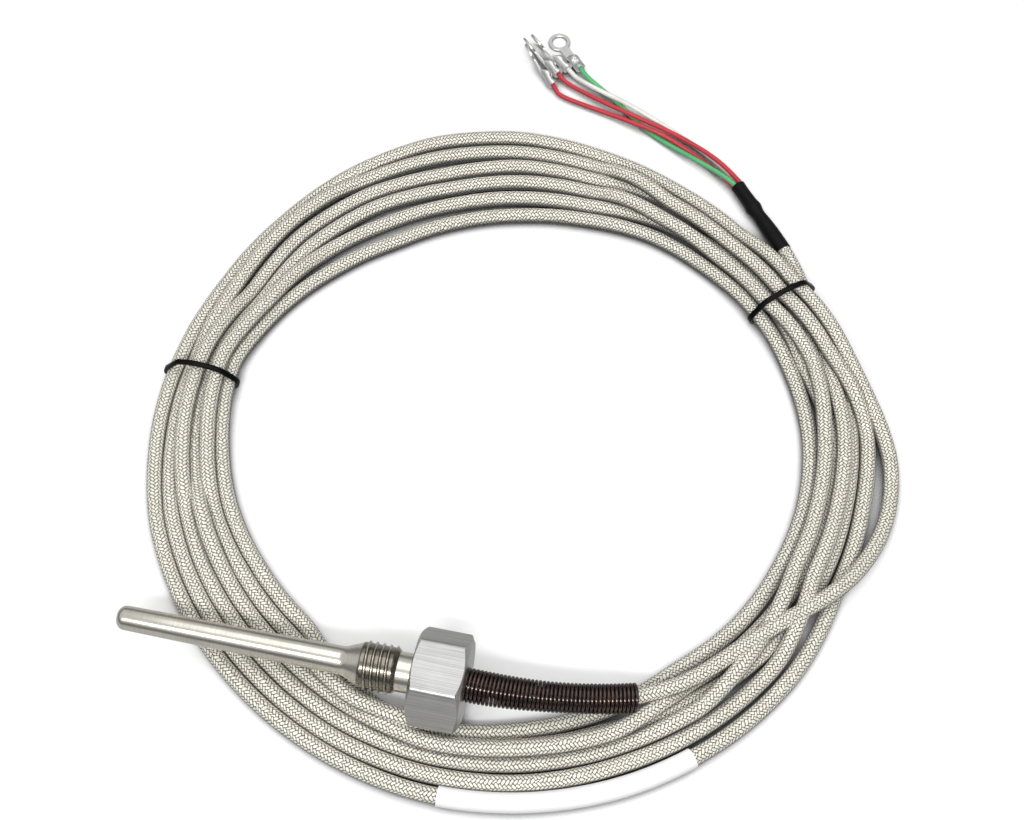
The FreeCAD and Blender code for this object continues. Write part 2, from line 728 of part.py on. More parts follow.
def main():
    os.makedirs("parts", exist_ok=True)
    export("probe_body", probe_body())
    export("sensing_element", sensing_element())
    export("tip_filler", tip_filler())
    export("element_insulator", element_insulator())
    export("element_wires", element_wires())
    export("splice_crimps", splice_crimps())
    export("splice_sleeves", splice_sleeves())
    export("cable_cores", cable_cores())
    export("potting_plug", potting_plug())
    export("crimp_ferrule", crimp_ferrule())
    export("strain_relief_spring", strain_relief_spring())
    runs = {
        "cable_lead": lead_wire(),
        "cable_outer_run": outer_run_wire(),
        "cable_tail": tail_wire(),
    }
    for name, wire in runs.items():
        solid = swept_rod(CABLE_RADIUS, wire)
        report_cord(name, wire, solid, CABLE_RADIUS)
        export(name, solid)
    export("cable_coil", cable_coil())
    for name, angle in zip(("tie_right", "tie_left"), TIE_ANGLES):
        export(name, tie(angle))
    export("label_sleeve", label_sleeve())
    export("end_sleeve", end_sleeve())
    for number, name in enumerate(LEAD_ROUTES):
        export("lead_" + name, lead(name, number))
        export("ring_terminal_" + name, ring_terminal(name))
    export("conductor_ends", compound([conductor_end(name) for name in LEAD_ROUTES]))


main()
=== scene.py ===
"""Temperature sensor: a screw-in probe with a coiled, braided cable, dressed for rendering."""

import logging
import math
from dataclasses import dataclass, field
from enum import Enum
from typing import Callable, Sequence

import bmesh
import bpy
from mathutils import Matrix, Vector


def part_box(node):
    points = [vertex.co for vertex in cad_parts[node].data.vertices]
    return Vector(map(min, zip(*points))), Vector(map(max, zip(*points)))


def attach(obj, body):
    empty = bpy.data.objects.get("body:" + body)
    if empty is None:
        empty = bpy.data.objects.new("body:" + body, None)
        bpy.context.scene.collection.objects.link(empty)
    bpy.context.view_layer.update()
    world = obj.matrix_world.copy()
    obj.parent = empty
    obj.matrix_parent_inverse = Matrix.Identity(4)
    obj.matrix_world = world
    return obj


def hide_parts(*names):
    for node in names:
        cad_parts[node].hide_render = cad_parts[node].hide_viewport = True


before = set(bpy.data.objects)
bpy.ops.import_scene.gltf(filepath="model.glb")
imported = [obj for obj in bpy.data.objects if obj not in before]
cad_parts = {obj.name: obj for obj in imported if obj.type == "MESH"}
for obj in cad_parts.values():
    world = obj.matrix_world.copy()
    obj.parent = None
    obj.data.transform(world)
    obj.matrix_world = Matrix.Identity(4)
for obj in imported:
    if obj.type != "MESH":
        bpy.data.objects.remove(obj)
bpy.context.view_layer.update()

MM = 0.001
ROOT = "root"
FLOOR_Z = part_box("probe_body")[0][2]
UP = Vector((0, 0, 1))
LOG = logging.getLogger("sensor")


def raised(x: float, y: float, height: float) -> Vector:
    """Place a point given in millimetres, with its height over the floor.

    Args:
        x: Distance along the probe's axis.
        y: Distance across it.
        height: Height over the floor.

    Returns:
        The point in metres, in the part's frame.
    """
    return Vector((x * MM, y * MM, FLOOR_Z + height * MM))


def ramp(value: float, zero_at: float, one_at: float) -> float:
    """Share of the way from one value to another, kept between 0 and 1."""
    return min(1.0, max(0.0, (value - zero_at) / (one_at - zero_at)))


def eased(share: float) -> float:
    """Smooth a share so that it starts and ends level."""
    return share * share * (3 - 2 * share)


def grey(level: float) -> tuple:
    """Neutral colour of one brightness."""
    return (level, level, level)


def line_length(points: Sequence[Vector]) -> float:
    """Length of a line along its points."""
    return sum((after - before).length for before, after in zip(points, points[1:]))


def deselect() -> None:
    """Leave edit mode and select nothing."""
    if bpy.context.object and bpy.context.object.mode != "OBJECT":
        bpy.ops.object.mode_set(mode="OBJECT")
    bpy.ops.object.select_all(action="DESELECT")


def make_active(piece: bpy.types.Object) -> None:
    """Select one piece alone and make it the active one."""
    deselect()
    piece.select_set(True)
    bpy.context.view_layer.objects.active = piece


def settle(piece: bpy.types.Object, smooth_deg: float) -> None:
    """Put a piece's place in its mesh, weld it, point its faces outwards and smooth it.

    Args:
        piece: The finished piece.
        smooth_deg: Edges that turn less than this are shaded smooth.
    """
    make_active(piece)
    bpy.ops.object.transform_apply(location=True, rotation=True, scale=True)
    bpy.ops.object.mode_set(mode="EDIT")
    bpy.ops.mesh.select_all(action="SELECT")
    bpy.ops.mesh.remove_doubles(threshold=2e-6)
    bpy.ops.mesh.normals_make_consistent(inside=False)
    bpy.ops.object.mode_set(mode="OBJECT")
    bpy.ops.object.shade_smooth_by_angle(angle=math.radians(smooth_deg))
    deselect()


class Shape(Enum):
    """How a ring of the turned body is worked."""

    TURNED = "turned"
    THREADED = "threaded"
    MILLED = "milled"


class Insulation(Enum):
    """Colours of the four leads."""

    RED = (0.56, 0.030, 0.045)
    WHITE = (0.86, 0.85, 0.80)
    GREEN = (0.10, 0.50, 0.20)

    @property
    def finish(self) -> str:
        """Name of the colour's material."""
        return self.name.lower() + "_insulation"


class NodeSheet:
    """A node tree under construction, with short calls for the nodes that repeat."""

    def __init__(self, tree: bpy.types.NodeTree) -> None:
        """Work on one tree."""
        self.tree = tree

    def add(self, kind: str, **settings: object) -> bpy.types.Node:
        """Add a node.

        Args:
            kind: The node's type name.
            **settings: Attributes to set on it.

        Returns:
            The new node.
        """
        node = self.tree.nodes.new(kind)
        for key, value in settings.items():
            setattr(node, key, value)
        return node

    def feed(self, target: bpy.types.NodeSocket, value: object) -> None:
        """Link an input to a socket, or set what it holds.

        Args:
            target: The input.
            value: A socket, number, vector or colour of three parts. None leaves the input.
        """
        if isinstance(value, bpy.types.NodeSocket):
            self.tree.links.new(value, target)
        elif value is not None:
            target.default_value = (*value, 1.0) if target.type == "RGBA" else value

    def feed_all(self, node: bpy.types.Node, values: dict) -> None:
        """Feed several of a node's inputs by name."""
        for name, value in values.items():
            self.feed(node.inputs[name], value)

    def run(self, kind: str, *values: object, pick: int = 0, **settings: object) -> bpy.types.NodeSocket:
        """Add a node, feed its inputs in their order and take one output.

        Args:
            kind: The node's type name.
            *values: What its first inputs are fed.
            pick: Number of the output.
            **settings: Attributes to set on it.

        Returns:
            The output.
        """
        node = self.add(kind, **settings)
        for socket, value in zip(node.inputs, values):
            self.feed(socket, value)
        return node.outputs[pick]

    def math(self, operation: str, *values: object, clamp: bool = False) -> bpy.types.NodeSocket:
        """Work out one number, kept between 0 and 1 where clamp is set."""
        return self.run("ShaderNodeMath", *values, operation=operation, use_clamp=clamp)

    def ramp(self, value: object, zero_at: float, one_at: float) -> bpy.types.NodeSocket:
        """Share of the way from one value to another, kept between 0 and 1."""
        slope = 1.0 / (one_at - zero_at)
        return self.math("MULTIPLY_ADD", value, slope, -zero_at * slope, clamp=True)

    def mix(self, share: object, first: object, second: object) -> bpy.types.NodeSocket:
        """Blend two numbers by a share from 0 to 1."""
        return self.run("ShaderNodeMix", share, None, first, second, data_type="FLOAT", clamp_factor=True)

    def tint(self, share: object, first: object, second: object) -> bpy.types.NodeSocket:
        """Blend two colours by a share from 0 to 1."""
        colours = (*[None] * 5, first, second)
        return self.run("ShaderNodeMix", share, *colours, pick=2, data_type="RGBA", clamp_factor=True)

    def noise(self, vector: object, scale: float, detail: float) -> bpy.types.NodeSocket:
        """Smooth noise over a vector, from 0 to 1.

        Args:
            vector: The places.
            scale: Waves in one unit.
            detail: How many finer layers are added.

        Returns:
            The noise.
        """
        node = self.add("ShaderNodeTexNoise")
        self.feed_all(node, {"Vector": vector, "Scale": scale, "Detail": detail})
        return node.outputs[0]

    def stretch(self, vector: object, scale: Sequence[float]) -> bpy.types.NodeSocket:
        """Scale a vector by its own factor along each axis."""
        return self.run("ShaderNodeMapping", vector, None, None, scale)

    def split(self, vector: object) -> bpy.types.bpy_prop_collection:
        """Take a vector apart into X, Y and Z."""
        node = self.add("ShaderNodeSeparateXYZ")
        self.feed(node.inputs[0], vector)
        return node.outputs

    def group(
        self, tree: bpy.types.NodeTree, vector: object, **values: float,
    ) -> bpy.types.bpy_prop_collection:
        """Put a node group in a material.

        Args:
            tree: The group.
            vector: The vector that it reads.
            **values: Numbers for its other inputs.

        Returns:
            The group's outputs.
        """
        node = self.add("ShaderNodeGroup", node_tree=tree)
        self.feed_all(node, {"Vector": vector, **values})
        return node.outputs

    def relief(self, shader: bpy.types.Node, height: object, depth_mm: float) -> None:
        """Raise a shader's surface by a height map.

        Args:
            shader: The Principled shader.
            height: The map, from 0 to 1.
            depth_mm: Height of the full relief.
        """
        bump = self.add("ShaderNodeBump")
        self.feed_all(bump, {"Distance": depth_mm * MM, "Height": height})
        self.feed(shader.inputs["Normal"], bump.outputs[0])

    def ray_shares(self) -> tuple:
        """Tell the camera's rays from mirrored ones.

        Returns:
            The share of rays that the camera sees directly and the share that a surface mirrors.
        """
        path = self.add("ShaderNodeLightPath").outputs
        return self.math("ADD", path["Is Camera Ray"], path["Is Transmission Ray"]), path["Is Glossy Ray"]


def open_group(name: str, inputs: dict) -> tuple:
    """Start a shader node group that reads a vector.

    Args:
        name: The group's name.
        inputs: Names of its other inputs with their default numbers.

    Returns:
        Its sheet and what its inputs give.
    """
    tree = bpy.data.node_groups.new(name, "ShaderNodeTree")
    tree.interface.new_socket(name="Vector", in_out="INPUT", socket_type="NodeSocketVector")
    for key, value in inputs.items():
        socket = tree.interface.new_socket(name=key, in_out="INPUT", socket_type="NodeSocketFloat")
        socket.default_value = value
    sheet = NodeSheet(tree)
    return sheet, sheet.add("NodeGroupInput").outputs


def close_group(sheet: NodeSheet, values: dict) -> bpy.types.NodeTree:
    """Give a shader node group its number outputs.

    Args:
        sheet: The group's sheet.
        values: The outputs' sockets by name.

    Returns:
        The finished group.
    """
    for name in values:
        sheet.tree.interface.new_socket(name=name, in_out="OUTPUT", socket_type="NodeSocketFloat")
    sheet.feed_all(sheet.add("NodeGroupOutput"), values)
    return sheet.tree


def braid_weave() -> bpy.types.NodeTree:
    """Build the tubular braid: carriers of fine wires that pass over two and under two.

    The vector's X is the distance along the cable in millimetres, and its Y is the
    share of the way round it. Two sets of carriers cross as left and right helices.
    Each range below says where a share of the pattern is none and where it is full.

    Returns:
        The node group, with Height, Gap, Wire and Wear outputs, and a last output that holds the painted
        shade of the cable's flanks and underside.
    """
    gap_range, wear_range, under_shade_range = (0.623, 0.2385), (0.371, 0.579), (0.514, -0.057)
    sway_waves, wear_waves = (0.35, 3.0, 1.0), (1.1, 14.0, 1.0)
    sway_carriers, wire_height = 1.5, 0.25
    sheet, given = open_group("braid_weave", {"Carriers": 12.0, "Spacing": 1.16, "Wires": 3.0})
    places = sheet.split(given["Vector"])
    sway = sheet.noise(sheet.stretch(given["Vector"], sway_waves), 1.0, 1.0)
    around = sheet.math("MULTIPLY", places["Y"], given["Carriers"])
    around = sheet.math("MULTIPLY_ADD", sway, sway_carriers, around)
    along = sheet.math("DIVIDE", places["X"], given["Spacing"])
    left = sheet.math("ADD", around, along)
    right = sheet.math("SUBTRACT", around, along)
    left_cell = sheet.math("FLOOR", left)
    right_cell = sheet.math("FLOOR", right)
    # Four crossings make one repeat, and the left carriers lie on top in two of them.
    order = sheet.math("FLOORED_MODULO", sheet.math("ADD", left_cell, right_cell), 4.0)
    over = sheet.math("LESS_THAN", order, 1.5)
    left_run = sheet.math("FLOORED_MODULO", sheet.math("ADD", left_cell, right), 4.0)
    right_run = sheet.math("FLOORED_MODULO", sheet.math("ADD", left, right_cell), 4.0)
    under_share = sheet.math("MULTIPLY_ADD", right_run, 0.5, -1.0)
    lengthwise = sheet.mix(over, under_share, sheet.math("MULTIPLY", left_run, 0.5))
    across = sheet.mix(over, sheet.math("FRACT", right), sheet.math("FRACT", left))
    crown = sheet.math("SINE", sheet.math("MULTIPLY", across, math.pi))
    arch = sheet.math("SINE", sheet.math("MULTIPLY", lengthwise, math.pi))
    fine = sheet.math("MULTIPLY", across, sheet.math("MULTIPLY", given["Wires"], math.pi))
    wire = sheet.math("ABSOLUTE", sheet.math("SINE", fine))
    body = sheet.math("MULTIPLY", sheet.math("POWER", crown, 0.6), sheet.math("POWER", arch, 0.5))
    worn = sheet.noise(sheet.stretch(given["Vector"], wear_waves), 1.0, 3.0)
    # Painted shade: a share that grows away from the cable's top, darkening its flanks and underside.
    facing = sheet.math("COSINE", sheet.math("MULTIPLY", places["Y"], math.tau))
    return close_group(sheet, {
        "Height": sheet.mix(wire_height, body, wire), "Gap": sheet.ramp(body, *gap_range), "Wire": wire,
        "Wear": sheet.ramp(worn, *wear_range), "UnderShade": sheet.ramp(facing, *under_shade_range),
    })


def worked_grain() -> bpy.types.NodeTree:
    """Build the fine grain that tools and moulds leave, with soft larger blotches.

    Returns:
        The node group, with Lines, Blotch and Speck outputs.
    """
    blotches, specks = 140.0, 2600.0
    sheet, given = open_group("worked_grain", {"Along": 4000.0, "Across": 60.0})
    scale = sheet.run("ShaderNodeCombineXYZ", given["Along"], given["Across"], given["Across"])
    spread = sheet.run("ShaderNodeVectorMath", given["Vector"], scale, operation="MULTIPLY")
    return close_group(sheet, {
        "Lines": sheet.noise(spread, 1.0, 4.0), "Blotch": sheet.noise(given["Vector"], blotches, 3.0),
        "Speck": sheet.noise(given["Vector"], specks, 2.0),
    })


def open_material(name: str) -> tuple:
    """Start a material.

    Args:
        name: The material's name.

    Returns:
        The material, its sheet, its Principled shader and its texture coordinates.
    """
    material = bpy.data.materials.new(name)
    material.use_nodes = True
    sheet = NodeSheet(material.node_tree)
    shader = material.node_tree.nodes["Principled BSDF"]
    return material, sheet, shader, sheet.add("ShaderNodeTexCoord").outputs


@dataclass(frozen=True)
class BraidFinish:
    """Woven sleeve of tinned wire over the cable, with painted shade on its flanks and underside."""

    name: str = "tinned_braid"
    bright: tuple = (1.0, 0.97, 0.87)
    shade: tuple = (0.70, 0.665, 0.55)
    # Painted shade: the near-black colour laid over the cable's flanks and underside, and how much of it is
    # laid.
    painted_shade: tuple = (0.03, 0.028, 0.022)
    gap: tuple = (0.02, 0.018, 0.014)
    wire_gleam: float = 0.35
    painted_shade_share: float = 0.95
    gap_metallic: float = 0.25
    roughness: tuple = (0.50, 0.30)
    relief_mm: float = 0.22

    def build(self, weave: bpy.types.NodeTree) -> bpy.types.Material:
        """Build the material on the piece's own UV map.

        Args:
            weave: The braid's node group.

        Returns:
            The material.
        """
        material, sheet, shader, places = open_material(self.name)
        braid = sheet.group(weave, places["UV"])
        tone = sheet.tint(braid["Wear"], self.shade, self.bright)
        # Painted highlight: each wire's crown is mixed towards the bright colour.
        tone = sheet.tint(sheet.math("MULTIPLY", braid["Wire"], self.wire_gleam), tone, self.bright)
        # Painted shade on the cable's flanks and underside.
        tone = sheet.tint(sheet.math("MULTIPLY", braid["UnderShade"], self.painted_shade_share), tone, self.painted_shade)
        sheet.feed_all(shader, {
            "Base Color": sheet.tint(braid["Gap"], tone, self.gap),
            "Metallic": sheet.mix(braid["Gap"], self.gap_metallic, 0.0),
            "Roughness": sheet.mix(braid["Wear"], *self.roughness),
        })
        sheet.relief(shader, braid["Height"], self.relief_mm)
        return material


@dataclass(frozen=True)
class GrainFinish:
    """A metal or plastic surface with its tool marks, blotches and specks.

    The grain says how many lines there are in a metre along the probe and across it.
    The dark colour fills the blotches, from the first share of the marks to the second, and a thread gets
    painted shade in its roots, inside the radius where that shade ends.
    """

    name: str
    colour: tuple
    dark: tuple
    metallic: float
    roughness: float
    grain: tuple
    relief_mm: float
    rough_spread: float = 0.12
    dark_range: tuple = (0.2917, 0.7083)
    line_share: float = 0.5
    coat: float = 0.0
    coat_roughness: float = 0.07
    anisotropy: float = 0.0
    specular: float = 0.5
    edge: tuple = (1.0, 1.0, 1.0)
    unshaded_radius_mm: float = 0.0
    root_depth_mm: float = 0.303
    root_shade: tuple = (0.27, 0.25, 0.21)

    def root_shade_share(self, sheet: NodeSheet, place: bpy.types.NodeSocket) -> bpy.types.NodeSocket:
        """Share from the thread roots, which get painted shade, out to the unshaded crests.

        Args:
            sheet: The material's sheet.
            place: The piece's Object coordinates.

        Returns:
            The share, from 0 in the roots to 1 on the crests.
        """
        parts = sheet.split(place)
        squares = [sheet.math("POWER", parts[axis], 2.0) for axis in "YZ"]
        out = sheet.math("SQRT", sheet.math("ADD", *squares))
        return sheet.ramp(out, (self.unshaded_radius_mm - self.root_depth_mm) * MM, self.unshaded_radius_mm * MM)

    def build(self, grain: bpy.types.NodeTree) -> bpy.types.Material:
        """Build the material on the piece's own Object coordinates.

        Args:
            grain: The grain's node group.

        Returns:
            The material.
        """
        material, sheet, shader, places = open_material(self.name)
        marks = sheet.group(grain, places["Object"], Along=self.grain[0], Across=self.grain[1])
        spread = sheet.ramp(sheet.mix(self.line_share, marks["Blotch"], marks["Lines"]), *self.dark_range)
        tone = sheet.tint(spread, self.dark, self.colour)
        if self.unshaded_radius_mm:
            # Painted shade in the thread's roots.
            tone = sheet.tint(self.root_shade_share(sheet, places["Object"]), self.root_shade, tone)
        sheet.feed_all(shader, {
            "Base Color": tone, "Metallic": self.metallic,
            "Roughness": sheet.mix(spread, self.roughness + self.rough_spread, self.roughness),
            "Specular IOR Level": self.specular, "Specular Tint": self.edge, "Anisotropic": self.anisotropy,
            "Coat Weight": self.coat, "Coat Roughness": self.coat_roughness,
        })
        sheet.relief(shader, sheet.mix(self.line_share, marks["Speck"], marks["Lines"]), self.relief_mm)
        return material


STEEL = {"metallic": 1.0, "rough_spread": 0.10}
BLACK_PLASTIC = {"metallic": 0.0, "edge": (0.6, 0.6, 0.6)}
GRAIN_FINISHES = (
    GrainFinish("turned_steel", (0.82, 0.795, 0.72), (0.64, 0.61, 0.54), roughness=0.17,
                grain=(1700.0, 22.0), relief_mm=0.003, anisotropy=0.3, **STEEL),
    GrainFinish("brushed_hexagon", (0.68, 0.68, 0.67), (0.36, 0.36, 0.355), roughness=0.33,
                grain=(40.0, 6500.0), relief_mm=0.010, line_share=0.85, anisotropy=0.5, **STEEL),
    # The thread's roots get painted shade inside 6.92 mm.
    GrainFinish("thread_steel", (0.78, 0.74, 0.66), (0.42, 0.39, 0.33), roughness=0.15,
                grain=(2500.0, 50.0), relief_mm=0.003, unshaded_radius_mm=6.92, **STEEL),
    GrainFinish("spring_wire", (0.125, 0.068, 0.055), (0.02, 0.011, 0.009), roughness=0.06,
                grain=(1200.0, 1200.0), relief_mm=0.0005, coat=1.0, edge=(0.10, 0.06, 0.05), **STEEL),
    GrainFinish("tinned_copper", (0.86, 0.86, 0.85), (0.66, 0.66, 0.65), roughness=0.26,
                grain=(1300.0, 1300.0), relief_mm=0.006, **STEEL),
    GrainFinish("tie_nylon", (0.004, 0.004, 0.0045), grey(0.002), roughness=0.10,
                grain=(300.0, 300.0), relief_mm=0.006, specular=0.16, **BLACK_PLASTIC),
    GrainFinish("shrink_sleeve", (0.006, 0.006, 0.007), grey(0.003), roughness=0.36,
                grain=(500.0, 220.0), relief_mm=0.03, specular=0.22, **BLACK_PLASTIC),
    GrainFinish("label_plastic", grey(0.90), grey(0.86), 0.0, 0.5, (300.0, 300.0), 0.006, line_share=0.2),
    GrainFinish("fired_ceramic", (0.88, 0.86, 0.80), (0.80, 0.77, 0.70), 0.0, 0.6, (900.0, 900.0), 0.02),
    GrainFinish("packed_powder", (0.84, 0.83, 0.78), (0.70, 0.69, 0.63), 0.0, 0.9,
                (2600.0, 2600.0), 0.06, line_share=0.2),
    GrainFinish("cast_resin", (0.05, 0.05, 0.055), (0.02, 0.02, 0.022), 0.0, 0.3, (200.0, 200.0), 0.01),
    GrainFinish("thin_sleeve", (0.80, 0.79, 0.74), (0.70, 0.69, 0.64), 0.0, 0.4, (700.0, 700.0), 0.01),
    *(GrainFinish(dye.finish, dye.value, tuple(0.72 * part for part in dye.value), 0.0, 0.32,
                  (260.0, 260.0), 0.008, line_share=0.3, coat=0.15) for dye in Insulation),
)


class Finishes:
    """All the object's materials, by name."""

    def __init__(self) -> None:
        """Build the shared groups and every material once."""
        grain = worked_grain()
        self.made = {finish.name: finish.build(grain) for finish in GRAIN_FINISHES}
        braid = BraidFinish()
        self.made[braid.name] = braid.build(braid_weave())

    def dress(self, piece: bpy.types.Object, *names: str) -> None:
        """Give a piece its materials in the order of its slots."""
        piece.data.materials.clear()
        for name in names:
            piece.data.materials.append(self.made[name])


def loop_round(
    shape: bmesh.types.BMesh, centre: Vector, side: Vector, other: Vector, reaches: Sequence[float],
) -> list:
    """Set the corners of a round section.

    Args:
        shape: The mesh under construction.
        centre: The section's middle.
        side: Direction of its first corner.
        other: Direction of the corner a quarter further.
        reaches: Distance of each corner from the middle.

    Returns:
        The corners.
    """
    turns = [math.tau * step / len(reaches) for step in range(len(reaches))]
    return [
        shape.verts.new(centre + (side * math.cos(turn) + other * math.sin(turn)) * reach)
        for turn, reach in zip(turns, reaches)
    ]


def band(shape: bmesh.types.BMesh, first: Sequence, second: Sequence) -> list:
    """Join two closed loops of corners by a band of faces.

    Args:
        shape: The mesh under construction.
        first: The loop that each face starts on.
        second: The loop that it ends on, with as many corners.

    Returns:
        The faces in the order of the corners.
    """
    return [
        shape.faces.new((first[here - 1], first[here], second[here], second[here - 1]))
        for here in (*range(1, len(first)), 0)
    ]


def from_corners(name: str, shape: bmesh.types.BMesh) -> bpy.types.Object:
    """Turn finished corners and faces into a piece.

    Args:
        name: The piece's name.
        shape: Its corners and faces, which are let go.

    Returns:
        The piece.
    """
    mesh = bpy.data.meshes.new(name)
    shape.to_mesh(mesh)
    shape.free()
    piece = bpy.data.objects.new(name, mesh)
    bpy.context.collection.objects.link(piece)
    return piece


def smooth_line(name: str, controls: Sequence[Vector], resolution: int) -> list:
    """Draw a cord's line past its control points, as one smooth open spline.

    Args:
        name: The guide curve's name.
        controls: Control points in metres.
        resolution: Steps between two control points.

    Returns:
        The line's points as Blender evaluates it.
    """
    data = bpy.data.curves.new(name, "CURVE")
    data.dimensions = "3D"
    data.resolution_u = resolution
    spline = data.splines.new("NURBS")
    spline.points.add(len(controls) - 1)
    for control, point in zip(spline.points, controls):
        control.co = (*point, 1.0)
    spline.order_u = 3
    spline.use_endpoint_u = True
    guide = bpy.data.objects.new(name, data)
    bpy.context.collection.objects.link(guide)
    bpy.context.view_layer.update()
    graph = bpy.context.evaluated_depsgraph_get()
    mesh = bpy.data.meshes.new_from_object(guide.evaluated_get(graph))
    points = [vertex.co.copy() for vertex in mesh.vertices]
    bpy.data.meshes.remove(mesh)
    bpy.data.objects.remove(guide)
    return points


def even_points(points: Sequence[Vector], spacing: float) -> list:
    """Space a smooth line's points evenly, without moving off it.

    Args:
        points: The line's close points.
        spacing: Least distance between two kept points.

    Returns:
        The kept points, with both ends.
    """
    kept = [points[0]]
    for point in points[1:-1]:
        if (point - kept[-1]).length >= spacing:
            kept.append(point)
    if (points[-1] - kept[-1]).length < 0.4 * spacing:
        kept.pop()
    return [*kept, points[-1]]


def carried_sides(points: Sequence[Vector]) -> list:
    """Carry a pair of side vectors along a line without twist.

    Args:
        points: The line's points.

    Returns:
        One (side, other side) for each point.
    """
    sides = []
    side = UP
    for index in range(len(points)):
        tangent = (points[min(index + 1, len(points) - 1)] - points[max(index - 1, 0)]).normalized()
        side = (side - tangent * side.dot(tangent)).normalized()
        sides.append((side, tangent.cross(side)))
    return sides


def tube_along(
    name: str, points: Sequence[Vector], radius: Callable[[float, float], float], sides: int, rim: float,
) -> bpy.types.Object:
    """Sweep a round section along a line, with its own UV map.

    U is the distance along in millimetres and V is the share of the way round.

    Args:
        name: The piece's name.
        points: The line that the section's centre follows.
        radius: Radius in metres from the distance along and the angle round.
        sides: Corners of the section.
        rim: Inner radius in metres of the flat rim at each end.

    Returns:
        The tube, closed at both ends.
    """
    frames = carried_sides(points)
    shape = bmesh.new()
    layer = shape.loops.layers.uv.new("UVMap")
    walked = 0.0
    rings, distances = [], []
    for index, point in enumerate(points):
        if index:
            walked += (point - points[index - 1]).length
        reaches = [radius(walked, math.tau * step / sides) for step in range(sides)]
        rings.append(loop_round(shape, point, *frames[index], reaches))
        distances.append(walked / MM)
    for index in range(len(rings) - 1):
        here, there = distances[index:index + 2]
        for step, face in enumerate(band(shape, rings[index], rings[index + 1])):
            face.smooth = True
            low, high = step / sides, (step + 1) / sides
            for corner, place in zip(face.loops, ((here, low), (here, high), (there, high), (there, low))):
                corner[layer].uv = place
    for index in (0, -1):
        inner = loop_round(shape, points[index], *frames[index], [rim] * sides)
        band(shape, *((inner, rings[0]) if index == 0 else (rings[-1], inner)))
        shape.faces.new(inner[::-1] if index == 0 else inner)
    return from_corners(name, shape)


